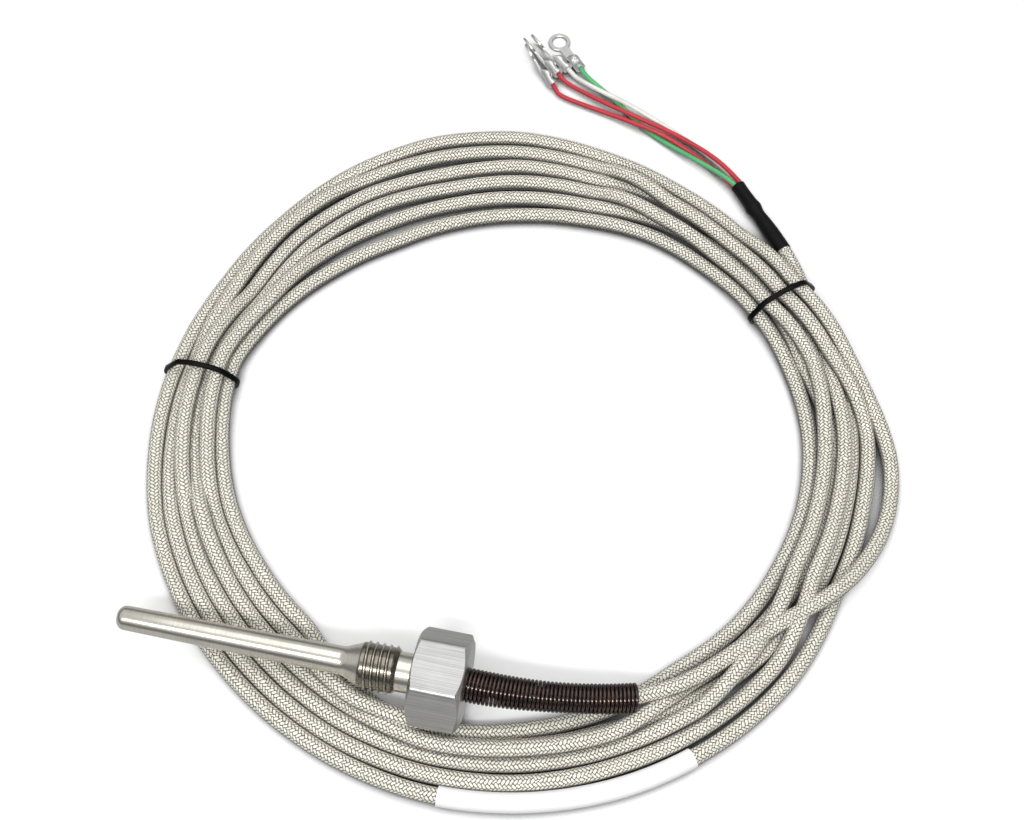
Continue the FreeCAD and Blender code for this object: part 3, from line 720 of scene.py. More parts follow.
@dataclass
class Cable:
    """The braided cable: out of the body, round the hand-wound coil and off at its back.

    Each station of the coil lists its six turns in the order in which the cable runs
    through them, as radii on the drawing's scale. A trailing U marks a turn that rests
    on the ones below it.
    """

    radius_mm: float = 2.4
    centre_mm: tuple = (19.6, 84.7)
    heading_deg: float = 11.5
    drawing_scale: float = 0.964
    station_deg: int = 15
    step_deg: int = 5
    length_m: float = 3.98
    ring_spacing_mm: float = 1.35
    sides: int = 16
    rim_share: float = 0.82
    exit_mm: tuple = (23.3, 0.0, 12.97)
    lead_mm: tuple = (
        (13.3, 0.0, 12.97), (46.2, 0.0, 12.97), (77.2, 10.0, 7.74), (100.3, 34.5, 7.6),
        (120.2, 50.6, 7.5), (130.4, 69.9, 3.7), (132.5, 88.0, 2.4), (129.1, 104.7, 3.0),
    )
    tail_mm: tuple = ((94.8, 158.6, 2.4), (89.9, 165.9, 2.95), (81.6, 175.9, 3.0))
    stations: dict = field(default_factory=lambda: {
        15: "107.7U 102.6U 100.3 96.3U 94.1 89.5 105.0",
        30: "104.2U 98.3U 101.3 91.9U 94.9 88.5 107.0",
        45: "105.0 97.6U 100.1 91.4U 95.1 87.2",
        60: "107.0 99.1U 102.0 91.7U 93.1 86.4",
        75: "110.5 105.6 100.5 95.3 89.6 83.9",
        90: "115.0 109.0 103.2 96.7 90.0 82.9",
        105: "116.9 110.6 103.2 97.0 90.4 83.0",
        120: "115.7 111.2 105.4 99.6 91.8 83.6",
        135: "113.6 110.0U 105.7 100.0 94.8 87.3",
        150: "112.8 108.5U 103.6 98.5 95.2U 92.2",
        165: "113.5 108.5 105.8U 102.9 99.8U 96.6",
        180: "115.4 110.3 106.8U 103.4 99.3U 95.3",
        195: "117.0 112.2 107.3 102.9U 99.2 94.2",
        210: "117.2 112.2 107.3 102.3 97.4 92.4",
        225: "117.4 112.2 107.0 101.8 96.6 91.4",
        240: "117.9 112.9 107.8 102.8 101.2U 97.7",
        255: "118.6 112.9 107.6 104.9U 99.9 102.5",
        270: "117.8 112.0 106.4 103.1U 96.4 101.3",
        285: "116.7 110.2 104.9 101.8U 93.5 99.6",
        300: "115.0 108.8 104.4U 96.0 90.4 100.9",
        315: "112.8 107.1 99.2U 96.3 90.9 102.0",
        330: "108.8 100.7U 94.7U 97.2 90.6 103.2",
        345: "108.4 100.5U 94.6U 97.6 91.0 103.2",
        360: "109.2 101.3U 95.2U 98.3 90.8 104.0",
    })
    tie_stations: tuple = (29.0, 169.0)
    tie_lift_mm: float = 1.05
    tie_fade_deg: tuple = (14.4, 6.4)
    label_deg: tuple = (257.0, 295.4)
    label_lift_mm: float = 0.57
    label_fade_deg: tuple = (14.0, 2.0)
    outer_turn_mm: float = 107.5

    def __post_init__(self) -> None:
        """Read the stations and lay the coil's turns on each other."""
        self.lanes = {}
        for angle, row in self.stations.items():
            self.lanes[angle] = [(float(cell.rstrip("U")), cell.endswith("U")) for cell in row.split()]
        self.turns = self.lay_turns()
        self.points: list = []

    def lane(self, turn: int, angle: int) -> tuple:
        """Find one turn of the coil between two stations.

        Args:
            turn: The turn's number, from 0.
            angle: Station angle in degrees; past 360 it runs into the next turn.

        Returns:
            Its radius in millimetres and whether it rests on others.
        """
        low = angle // self.station_deg * self.station_deg
        share = (angle - low) / self.station_deg
        here = self.lanes[low][turn]
        if share == 0:
            return here[0] * self.drawing_scale, here[1]
        if low == max(self.lanes):
            there = self.lanes[self.station_deg][turn + 1]
        else:
            there = self.lanes[low + self.station_deg][turn]
        radius = here[0] * (1 - share) + there[0] * share
        return radius * self.drawing_scale, here[1] or there[1]

    def lift(self, turn: int, angle: float) -> float:
        """Height that the ties' lower strands and the label sleeve give a turn on the floor.

        Args:
            turn: The turn's number.
            angle: Station angle in degrees.

        Returns:
            The height in millimetres.
        """
        away = min(abs((angle - tie + 180) % 360 - 180) for tie in self.tie_stations)
        lifted = self.tie_lift_mm * ramp(away, *self.tie_fade_deg)
        if turn == 0:
            outside = max(self.label_deg[0] - angle, angle - self.label_deg[1])
            lifted = max(lifted, self.label_lift_mm * ramp(outside, *self.label_fade_deg))
        return lifted

    def lay_turns(self) -> list:
        """Work out every turn's place and height at each step round the coil.

        Returns:
            (turn, station angle, radius, height) in the cable's own order.
        """
        full, start, last = 360, self.station_deg, 6
        lap = range(start, start + full, self.step_deg)
        steps = [(turn, angle) for turn in range(last) for angle in lap]
        steps += [(last, angle) for angle in range(start, 2 * start + 1, self.step_deg)]
        places = [(turn, angle, *self.lane(turn, angle)) for turn, angle in steps]
        levels: dict = {}
        for turn, angle, radius, upper in places:
            if not upper:
                levels.setdefault(angle % full, []).append((radius, self.radius_mm + self.lift(turn, angle)))
        laid = []
        for turn, angle, radius, upper in places:
            height = self.radius_mm + self.lift(turn, angle)
            for lower, base in levels[angle % full] if upper else ():
                apart = abs(radius - lower)
                if apart < 2 * self.radius_mm:
                    height = max(height, base + math.sqrt(4 * self.radius_mm**2 - apart**2))
            laid.append((turn, angle, radius, height))
        return laid

    def at_station(self, angle: float, radius: float, height: float) -> Vector:
        """Point of the coil from its station angle, radius and height over the floor."""
        turn = math.radians(angle + self.heading_deg)
        middle_x, middle_y = self.centre_mm
        return raised(middle_x + radius * math.cos(turn), middle_y + radius * math.sin(turn), height)

    def route(self) -> list:
        """List the whole cable's control points, from inside the body to its cut end.

        The spline runs inside the corners of its control points, so those of the coil
        stand a little further out.

        Returns:
            The points in metres.
        """
        fullness = 0.75 + 0.25 * math.cos(math.radians(self.step_deg))
        coil = [self.at_station(angle, radius / fullness, height) for _, angle, radius, height in self.turns]
        return [raised(*place) for place in self.lead_mm] + coil + [raised(*place) for place in self.tail_mm]

    def build(self, finishes: Finishes) -> bpy.types.Object:
        """Build the braided cable as one tube that follows its smooth route.

        Args:
            finishes: The materials.

        Returns:
            The cable.
        """
        self.points = even_points(smooth_line("cable_guide", self.route(), 5), self.ring_spacing_mm * MM)
        radius = self.radius_mm * MM
        rim = radius * self.rim_share
        piece = tube_along("braided_cable", self.points, lambda *_: radius, self.sides, rim)
        finishes.dress(piece, "tinned_braid")
        return piece

    def declare(self, piece: bpy.types.Object) -> None:
        """Attach the cable to the root and hide the CAD cable parts that it stands in for.

        Args:
            piece: The cable.
        """
        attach(piece, ROOT)
        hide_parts("cable_lead", "cable_outer_run", "cable_tail", "cable_coil")

    def stretch(self, start_deg: float, end_deg: float) -> list:
        """Pick the outermost turn's points between two station angles, on its first lap.

        Args:
            start_deg: Station angle of the first point.
            end_deg: Station angle of the last point.

        Returns:
            The points.
        """
        centre = raised(*self.centre_mm, 0.0)
        picked = []
        for point in self.points:
            away = point - centre
            station = (math.degrees(math.atan2(away.y, away.x)) - self.heading_deg) % 360
            if away.xy.length > self.outer_turn_mm * MM and start_deg <= station <= end_deg:
                picked.append(point)
            elif picked:
                break
        return picked


@dataclass
class ProbeBody:
    """Stem, shoulder, threaded part, neck, hexagon and collar, cut from one bar.

    All sizes are in millimetres. Places along the axis are measured from where the full
    thread ends, towards the cable.
    """

    tip_x: float = -80.1
    nose_round: float = 2.4
    tip_radius: float = 3.5
    root_radius: float = 4.0
    shoulder_x: float = -14.4
    hollow: float = 5.0
    thread_start: float = -10.7
    core_radius: float = 5.6
    crest_radius: float = 7.0
    lead_length: float = 3.0
    runout: float = 1.3
    pitch: float = 2.0
    thread_depth: float = 0.62
    thread_flank: tuple = (0.10, 0.55)
    thread_fade: float = 0.8
    ring_step: float = 0.1
    plain_entry: float = 1.3
    neck_radius: float = 5.7
    neck_fillet: float = 0.35
    hex_start: float = 5.9
    hex_end: float = 20.7
    across_flats: float = 25.0
    corner_limit: float = 14.22
    face_radius: float = 12.0
    front_chamfer: tuple = (1.28, 2.56)
    back_chamfer: tuple = (1.6, 2.72)
    roll_deg: float = 4.0
    collar_radius: float = 3.75
    mouth_x: float = 23.3
    mouth_chamfer: float = 0.3
    bore_radius: float = 3.0
    bore_edge: float = 0.1
    bore_step: tuple = (-11.9, -12.7)
    bore_end: tuple = (-77.08, -78.4)
    stem_bore_radius: float = 2.2
    skin_radius: float = 5.5
    columns: int = 180
    nose_steps: int = 8
    hollow_steps: int = 6
    chamfer_steps: int = 16
    flat_steps: int = 8
    smooth_deg: float = 24.0

    def stem(self) -> list:
        """Work out the round nose, the tapered stem and the hollow foot of the shoulder.

        Returns:
            (x, radius) of each ring.
        """
        rings = [(self.tip_x, 0.0)]
        for step in range(self.nose_steps + 1):
            turn = math.radians(90 * step / self.nose_steps)
            x = self.tip_x + self.nose_round * (1 - math.cos(turn))
            rings.append((x, self.tip_radius - self.nose_round * (1 - math.sin(turn))))
        slope = math.atan2(self.core_radius - self.root_radius, self.thread_start - self.shoulder_x)
        nose_x = self.tip_x + self.nose_round
        start_x = self.shoulder_x - self.hollow * math.tan(slope / 2)
        for share in (0.25, 0.5, 0.75):
            radius = self.tip_radius + (self.root_radius - self.tip_radius) * share
            rings.append((nose_x + (start_x - nose_x) * share, radius))
        for step in range(self.hollow_steps + 1):
            turn = slope * step / self.hollow_steps
            x = start_x + self.hollow * math.sin(turn)
            rings.append((x, self.root_radius + self.hollow * (1 - math.cos(turn))))
        return rings

    def thread(self) -> list:
        """Work out the thread's blank, which tapers in at its start and out at its end.

        Returns:
            (x, radius) of each ring.
        """
        rings = []
        for step in range(round((self.runout - self.thread_start) / self.ring_step) + 1):
            x = self.thread_start + step * self.ring_step
            rise = (x - self.thread_start) / self.lead_length
            lead = self.core_radius + rise * (self.crest_radius - self.core_radius)
            tail = self.crest_radius - max(0.0, x) * (self.crest_radius - self.neck_radius) / self.runout
            rings.append((x, min(lead, tail, self.crest_radius)))
        return rings

    def hexagon(self) -> list:
        """Work out the hexagon's limits: a turned chamfer, the bare flats and a second chamfer.

        Returns:
            (x, radius) of each ring.
        """
        (front, front_rise), (back, back_rise) = self.front_chamfer, self.back_chamfer
        span = self.hex_end - self.hex_start - front - back
        shares = [step / self.chamfer_steps for step in range(self.chamfer_steps + 1)]
        rings = [(self.hex_start + front * share, self.face_radius + front_rise * share) for share in shares]
        for step in range(1, self.flat_steps):
            rings.append((self.hex_start + front + span * step / self.flat_steps, math.inf))
        for share in reversed(shares):
            rings.append((self.hex_end - back * share, self.face_radius + back_rise * share))
        return rings

    def collar(self) -> list:
        """Work out the collar and the stepped bore back through the stem.

        Returns:
            (x, radius) of each ring.
        """
        return [
            (self.hex_end, self.collar_radius),
            (self.mouth_x - self.mouth_chamfer, self.collar_radius),
            (self.mouth_x, self.collar_radius - self.mouth_chamfer),
            (self.mouth_x, self.bore_radius + self.bore_edge),
            (self.mouth_x - self.bore_edge, self.bore_radius),
            (self.bore_step[0], self.bore_radius), (self.bore_step[1], self.stem_bore_radius),
            (self.bore_end[0], self.stem_bore_radius), (self.bore_end[1], 0.0),
        ]

    def rings(self) -> list:
        """List the rings of the body from the tip round to the end of its bore.

        Returns:
            (x, radius limit, shape) of each ring.
        """
        neck = [(self.hex_start - self.neck_fillet, self.neck_radius),
                (self.hex_start, self.neck_radius + self.neck_fillet)]
        profiles = (
            (Shape.TURNED, self.stem()), (Shape.THREADED, self.thread()), (Shape.TURNED, neck),
            (Shape.MILLED, self.hexagon()), (Shape.TURNED, self.collar()),
        )
        return [(*ring, shape) for shape, profile in profiles for ring in profile]

    def cut_radius(self, x: float, limit: float, shape: Shape, turn: float) -> float:
        """Work out the finished surface at one place.

        Args:
            x: Place along the axis.
            limit: Radius of the turned blank there.
            shape: How the ring is worked.
            turn: Angle round the axis.

        Returns:
            The radius.
        """
        if shape is Shape.TURNED:
            return limit
        if shape is Shape.MILLED:
            corner = (math.degrees(turn) - self.roll_deg) % 60 - 30
            return min(limit, self.corner_limit, self.across_flats / 2 / math.cos(math.radians(corner)))
        phase = (x / self.pitch - turn / math.tau) % 1.0
        groove = (0.5 - abs(phase - 0.5)) * 2
        depth = ramp(groove, *self.thread_flank) * self.thread_depth
        return min(limit, self.crest_radius - depth * ramp(x, self.runout, self.runout - self.thread_fade))

    def build(self, finishes: Finishes) -> bpy.types.Object:
        """Build the body from a grid that is wrapped round the axis and welded.

        Args:
            finishes: The materials.

        Returns:
            The body.
        """
        rings = self.rings()
        deselect()
        bpy.ops.mesh.primitive_grid_add(x_subdivisions=len(rings) - 1, y_subdivisions=self.columns, size=1.0)
        piece = bpy.context.object
        piece.name = piece.data.name = "probe_turned"
        grid = {(round(vertex.co.x, 5), round(vertex.co.y, 5)): vertex for vertex in piece.data.vertices}
        for number, place in enumerate(sorted(grid)):
            ring, column = divmod(number, self.columns + 1)
            turn = math.radians(self.roll_deg) + math.tau * column / self.columns
            radius = self.cut_radius(*rings[ring], turn)
            grid[place].co = Vector((rings[ring][0], radius * math.cos(turn), radius * math.sin(turn))) * MM
        settle(piece, self.smooth_deg)
        finishes.dress(piece, "turned_steel", "thread_steel", "brushed_hexagon")
        for face in piece.data.polygons:
            x = face.center.x / MM
            if face.center.yz.length > self.skin_radius * MM:
                if self.hex_start - 0.01 < x < self.hex_end + 0.01:
                    face.material_index = 2
                elif self.thread_start + self.plain_entry < x < self.runout:
                    face.material_index = 1
        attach(piece, ROOT)
        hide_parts("probe_body")
        return piece


@dataclass
class CableTie:
    """Thin moulded strap drawn tight round the bundle's turns.

    The crown lists how far its top bows over the highest turn, at shares of its width.
    """

    name: str
    station_deg: float
    replaces: str
    width_mm: float = 1.7
    thickness_mm: float = 0.9
    slack_mm: float = 0.12
    edge_mm: float = 0.22
    edge_turn_deg: float = 50.0
    smooth_deg: float = 40.0
    arc_steps: int = 24
    crown: tuple = ((0.22, -0.6), (0.36, 0.5), (0.5, 0.95), (0.64, 1.0), (0.78, 0.4))

    def outline(self, cable: Cable) -> list:
        """Find the tight line round the turns where the tie crosses them.

        Args:
            cable: The cable with its laid turns.

        Returns:
            Corners (radius, height) of the convex line, in millimetres.
        """
        corners = []
        station = round(self.station_deg / cable.step_deg) * cable.step_deg
        reach = cable.radius_mm + self.slack_mm
        for _, angle, radius, height in cable.turns:
            if angle % 360 == station:
                for step in range(self.arc_steps):
                    turn = math.tau * step / self.arc_steps
                    corners.append((radius + reach * math.cos(turn), height + reach * math.sin(turn)))
        low, high = min(corners)[0], max(corners)[0]
        top = max(height for _, height in corners)
        corners += [(low + (high - low) * share, top + bow) for share, bow in self.crown]
        corners = sorted({(round(radius, 3), round(height, 3)) for radius, height in corners})
        line: list = []
        for part in (corners, corners[::-1]):
            chain: list = []
            for corner in part:
                while len(chain) > 1 and self.bends_in(*chain[-2:], corner):
                    chain.pop()
                chain.append(corner)
            line += chain[:-1]
        return line

    @staticmethod
    def bends_in(first: tuple, second: tuple, third: tuple) -> bool:
        """Whether three corners turn clockwise or lie in line."""
        along, up = second[0] - first[0], second[1] - first[1]
        return along * (third[1] - first[1]) - up * (third[0] - first[0]) <= 1e-9

    def build(self, cable: Cable, finishes: Finishes) -> bpy.types.Object:
        """Build the strap as a closed band with rounded edges.

        Args:
            cable: The cable that it holds.
            finishes: The materials.

        Returns:
            The tie.
        """
        line = self.outline(cable)
        outward = cable.at_station(self.station_deg, 1, 0) - cable.at_station(self.station_deg, 0, 0)
        aside = UP.cross(outward).normalized() * self.width_mm / 2 * MM
        shape = bmesh.new()
        rings = []
        for index, (radius, height) in enumerate(line):
            before, after = line[index - 1], line[(index + 1) % len(line)]
            run = Vector((after[0] - before[0], after[1] - before[1])).normalized() * self.thickness_mm
            inner = cable.at_station(self.station_deg, radius, height)
            outer = cable.at_station(self.station_deg, radius + run.y, height - run.x)
            corners = (inner - aside, outer - aside, outer + aside, inner + aside)
            rings.append([shape.verts.new(corner) for corner in corners])
        for here, there in zip(rings, rings[1:] + rings[:1]):
            band(shape, here, there)
        piece = from_corners(self.name, shape)
        edge = piece.modifiers.new("edge", "BEVEL")
        edge.width = self.edge_mm * MM
        edge.segments = 2
        edge.limit_method = "ANGLE"
        edge.angle_limit = math.radians(self.edge_turn_deg)
        make_active(piece)
        bpy.ops.object.modifier_apply(modifier=edge.name)
        settle(piece, self.smooth_deg)
        finishes.dress(piece, "tie_nylon")
        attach(piece, ROOT)
        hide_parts(self.replaces)
        return piece


@dataclass
class Sleeves:
    """Bare white sleeve on the outermost turn and black shrunk sleeve on the cable's end.

    The swells list the shrunk sleeve's bulge and waist: place along it, width and height.
    """

    label_radius_mm: float = 2.92
    label_bore_mm: float = 2.45
    label_sway_mm: float = 0.05
    end_radius_mm: float = 2.66
    neck_radius_mm: float = 2.36
    neck_run_mm: float = 4.0
    lead_bore_mm: float = 2.0
    overlap_mm: float = 10.0
    past_cable_mm: float = 16.0
    past_steps: int = 18
    swells_mm: tuple = ((18.6, 1.5, 0.34), (15.6, 1.4, -0.08))
    fold_mm: float = 0.05
    label_sides: int = 32
    end_sides: int = 36
    smooth_deg: float = 50.0

    def label(self, cable: Cable, finishes: Finishes) -> bpy.types.Object:
        """Build the bare sleeve along the stretch of cable inside it.

        Args:
            cable: The cable.
            finishes: The materials.

        Returns:
            The sleeve.
        """
        def section(along: float, turn: float) -> float:
            """Slightly flattened radius."""
            sway = math.cos(2 * turn) * math.sin(along * 90)
            return (self.label_radius_mm + self.label_sway_mm * sway) * MM

        line = cable.stretch(*cable.label_deg)
        piece = tube_along("label_sleeve_bare", line, section, self.label_sides, self.label_bore_mm * MM)
        settle(piece, self.smooth_deg)
        finishes.dress(piece, "label_plastic")
        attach(piece, ROOT)
        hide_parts("label_sleeve")
        return piece

    def end_line(self, cable: Cable) -> list:
        """Run the shrunk sleeve's line over the cable's last stretch and straight on.

        Args:
            cable: The cable.

        Returns:
            The line's points.
        """
        end = cable.points[-1]
        line = [end]
        for point in reversed(cable.points[:-1]):
            line.append(point)
            if (point - end).length > self.overlap_mm * MM:
                break
        line.reverse()
        reach = (line[-1] - line[-3]).normalized() * self.past_cable_mm * MM
        return line + [end + reach * (step / self.past_steps) for step in range(1, self.past_steps + 1)]

    def end(self, cable: Cable, finishes: Finishes) -> bpy.types.Object:
        """Build the shrunk sleeve with its bulge over the braid's fold and its narrower neck.

        Args:
            cable: The cable.
            finishes: The materials.

        Returns:
            The sleeve.
        """
        def section(along: float, turn: float) -> float:
            """Radius along the sleeve, with soft folds past the cable's end."""
            place = along / MM
            neck = eased(ramp(place, self.overlap_mm, self.overlap_mm + self.neck_run_mm))
            radius = self.end_radius_mm + (self.neck_radius_mm - self.end_radius_mm) * neck
            for at, width, height in self.swells_mm:
                radius += height * math.exp(-((place - at) / width) ** 2)
            return (radius + self.fold_mm * math.sin(2 * turn + 0.6 * place) * neck) * MM

        line = self.end_line(cable)
        piece = tube_along("shrunk_sleeve", line, section, self.end_sides, self.lead_bore_mm * MM)
        settle(piece, self.smooth_deg)
        finishes.dress(piece, "shrink_sleeve")
        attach(piece, ROOT)
        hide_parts("end_sleeve")
        return piece


@dataclass
class RingTerminal:
    """Stamped ring terminal: flat ring, tongue and rolled barrel with its crimp.

    Its own frame, in millimetres, starts at the barrel's mouth with X towards the ring
    and Z off the sheet.
    """

    name: str
    mouth_mm: tuple
    turn_deg: tuple
    ring_radius: float = 3.78
    hole_radius: float = 2.5
    sheet: float = 0.8
    edge: float = 0.14
    reach: float = 14.6
    barrel_length: float = 5.0
    barrel_radius: float = 1.8
    barrel_edge: float = 0.15
    bore_radius: float = 1.1
    bore_depth: float = 1.2
    crimp_x: float = 2.6
    crimp_half: float = 1.0
    crimp_depth: float = 0.75
    seam_depth: float = 0.22
    seam_turn: float = 0.09
    tongue_half: float = 1.6
    tongue_lap: float = 0.6
    flare_length: float = 2.6
    columns: int = 64
    sides: int = 40
    smooth_deg: float = 35.0

    def place(self) -> Matrix:
        """Work out where its own frame lies.

        Returns:
            The frame in the part's frame, with its scale.
        """
        heading, rise, roll = (math.radians(turn) for turn in self.turn_deg)
        place = Matrix.Translation(raised(*self.mouth_mm)) @ Matrix.Rotation(heading, 4, "Z")
        return place @ Matrix.Rotation(-rise, 4, "Y") @ Matrix.Rotation(roll, 4, "X") @ Matrix.Scale(MM, 4)

    def outer_reach(self, turn: float) -> float:
        """Distance of the plate's outline from the hole's middle.

        Args:
            turn: Angle round the hole, from straight ahead.

        Returns:
            The ring's radius, or further out along the tongue.
        """
        away = math.pi - turn
        if math.cos(away) <= 0.2:
            return self.ring_radius
        limit = (self.reach - self.barrel_length - self.tongue_lap) / math.cos(away)
        return max(self.ring_radius, min(self.tongue_half / max(1e-6, abs(math.sin(away))), limit))

    def plate(self, shape: bmesh.types.BMesh) -> None:
        """Add the ring and its tongue, with rounded stamped edges."""
        turns = [math.tau * step / self.columns for step in range(self.columns)]
        loops = []
        for height, soft in (
            (0.0, self.edge), (self.edge, 0.0), (self.sheet - self.edge, 0.0), (self.sheet, self.edge),
        ):
            middle = Vector((self.reach, 0, height - self.barrel_radius))
            outer = [self.outer_reach(turn) - soft for turn in turns]
            inner = [self.hole_radius + soft] * self.columns
            across = Vector((1, 0, 0)), Vector((0, 1, 0))
            loops.append([loop_round(shape, middle, *across, reaches) for reaches in (outer, inner)])
        for (outer, inner), (next_outer, next_inner) in zip(loops, loops[1:]):
            band(shape, outer, next_outer)
            band(shape, next_inner, inner)
        band(shape, *loops[0][::-1])
        band(shape, *loops[-1])

    def pressed(self, x: float, radius: float) -> list:
        """Press the crimp and the seam into one round section of the barrel.

        Args:
            x: Place of the section.
            radius: Its radius before.

        Returns:
            The distance of each corner from the axis.
        """
        reaches = []
        for side in range(self.sides):
            turn = math.tau * side / self.sides
            past_jaw = abs(x - self.crimp_x) - self.crimp_half
            press = max(0.0, math.sin(turn)) ** 2 / (1 + math.exp(6 * past_jaw))
            seam = math.exp(-((turn - math.pi / 2) / self.seam_turn) ** 2)
            reaches.append(radius - self.crimp_depth * press - self.seam_depth * seam)
        return reaches

    def barrel(self, shape: bmesh.types.BMesh) -> None:
        """Add the rolled barrel with its pressed crimp, flattened into the tongue."""
        across = Vector((0, 1, 0))
        bore = [self.bore_radius] * self.sides
        sections = [(x, bore) for x in (self.bore_depth, 0.0)]
        sections.append((0.0, self.pressed(0.0, self.barrel_radius - self.barrel_edge)))
        for step in range(17):
            x = self.barrel_edge + (self.barrel_length - 2 * self.barrel_edge) * step / 16
            sections.append((x, self.pressed(x, self.barrel_radius)))
        loops = [loop_round(shape, Vector((x, 0, 0)), across, UP, reaches) for x, reaches in sections]
        for step in range(1, 9):
            ease = eased(step / 8)
            half_height = self.barrel_radius + (self.sheet / 2 - self.barrel_radius) * ease
            half_width = self.barrel_radius + (self.tongue_half - self.barrel_radius) * ease
            x = self.barrel_length + self.flare_length * step / 8
            middle = Vector((x, 0, half_height - self.barrel_radius))
            axes = across * half_width, UP * half_height
            loops.append(loop_round(shape, middle, *axes, [1.0] * self.sides))
        for here, there in zip(loops, loops[1:]):
            band(shape, here, there)
        shape.faces.new(loops[0][::-1])
        shape.faces.new(loops[-1])

    def build(self, finishes: Finishes) -> bpy.types.Object:
        """Build the terminal as one stamped piece.

        Args:
            finishes: The materials.

        Returns:
            The terminal.
        """
        shape = bmesh.new()
        self.plate(shape)
        self.barrel(shape)
        shape.transform(self.place())
        piece = from_corners(self.name, shape)
        settle(piece, self.smooth_deg)
        finishes.dress(piece, "tinned_copper")
        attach(piece, ROOT)
        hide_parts(self.name.replace("stamped", "ring"))
        return piece


@dataclass
class Lead:
    """One insulated core from the shrunk sleeve to its ring terminal.

    Across and above say on which side of the sleeve's axis it comes out, as 1 or -1.
    """

    name: str
    colour: Insulation
    across: int
    above: int
    points_mm: tuple
    terminal: RingTerminal
    core_mm: float = 0.919
    radius_mm: float = 0.8
    rim_share: float = 0.8
    spacing_mm: float = 0.7
    sides: int = 14
    inside_mm: tuple = (0.5, 10.0, 17.5)
    entry_mm: tuple = (-4.6, -1.6, 0.9)

    def route(self, cable: Cable) -> list:
        """List control points from inside the shrunk sleeve to inside the terminal's barrel.

        Args:
            cable: The cable that it comes out of.

        Returns:
            The points in metres.
        """
        heading = (cable.points[-1] - cable.points[-4]).normalized()
        shift = (heading.cross(UP) * self.across + UP * self.above) * self.core_mm * MM
        start = cable.points[-1] + shift
        return [
            *(start + heading * along * MM for along in self.inside_mm),
            *(raised(*place) for place in self.points_mm),
            *(self.terminal.place() @ Vector((x, 0, 0)) for x in self.entry_mm),
        ]

    def build(self, cable: Cable, finishes: Finishes) -> tuple:
        """Build the lead as a smooth tube along its route, and its terminal.

        Args:
            cable: The cable that it comes out of.
            finishes: The materials.

        Returns:
            The lead and the terminal.
        """
        points = even_points(smooth_line(self.name + "_guide", self.route(cable), 10), self.spacing_mm * MM)
        radius = self.radius_mm * MM
        piece = tube_along(
            "insulated_" + self.name, points, lambda *_: radius, self.sides, radius * self.rim_share)
        finishes.dress(piece, self.colour.finish)
        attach(piece, ROOT)
        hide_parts(self.name)
        terminal = self.terminal.build(finishes)
        return piece, terminal


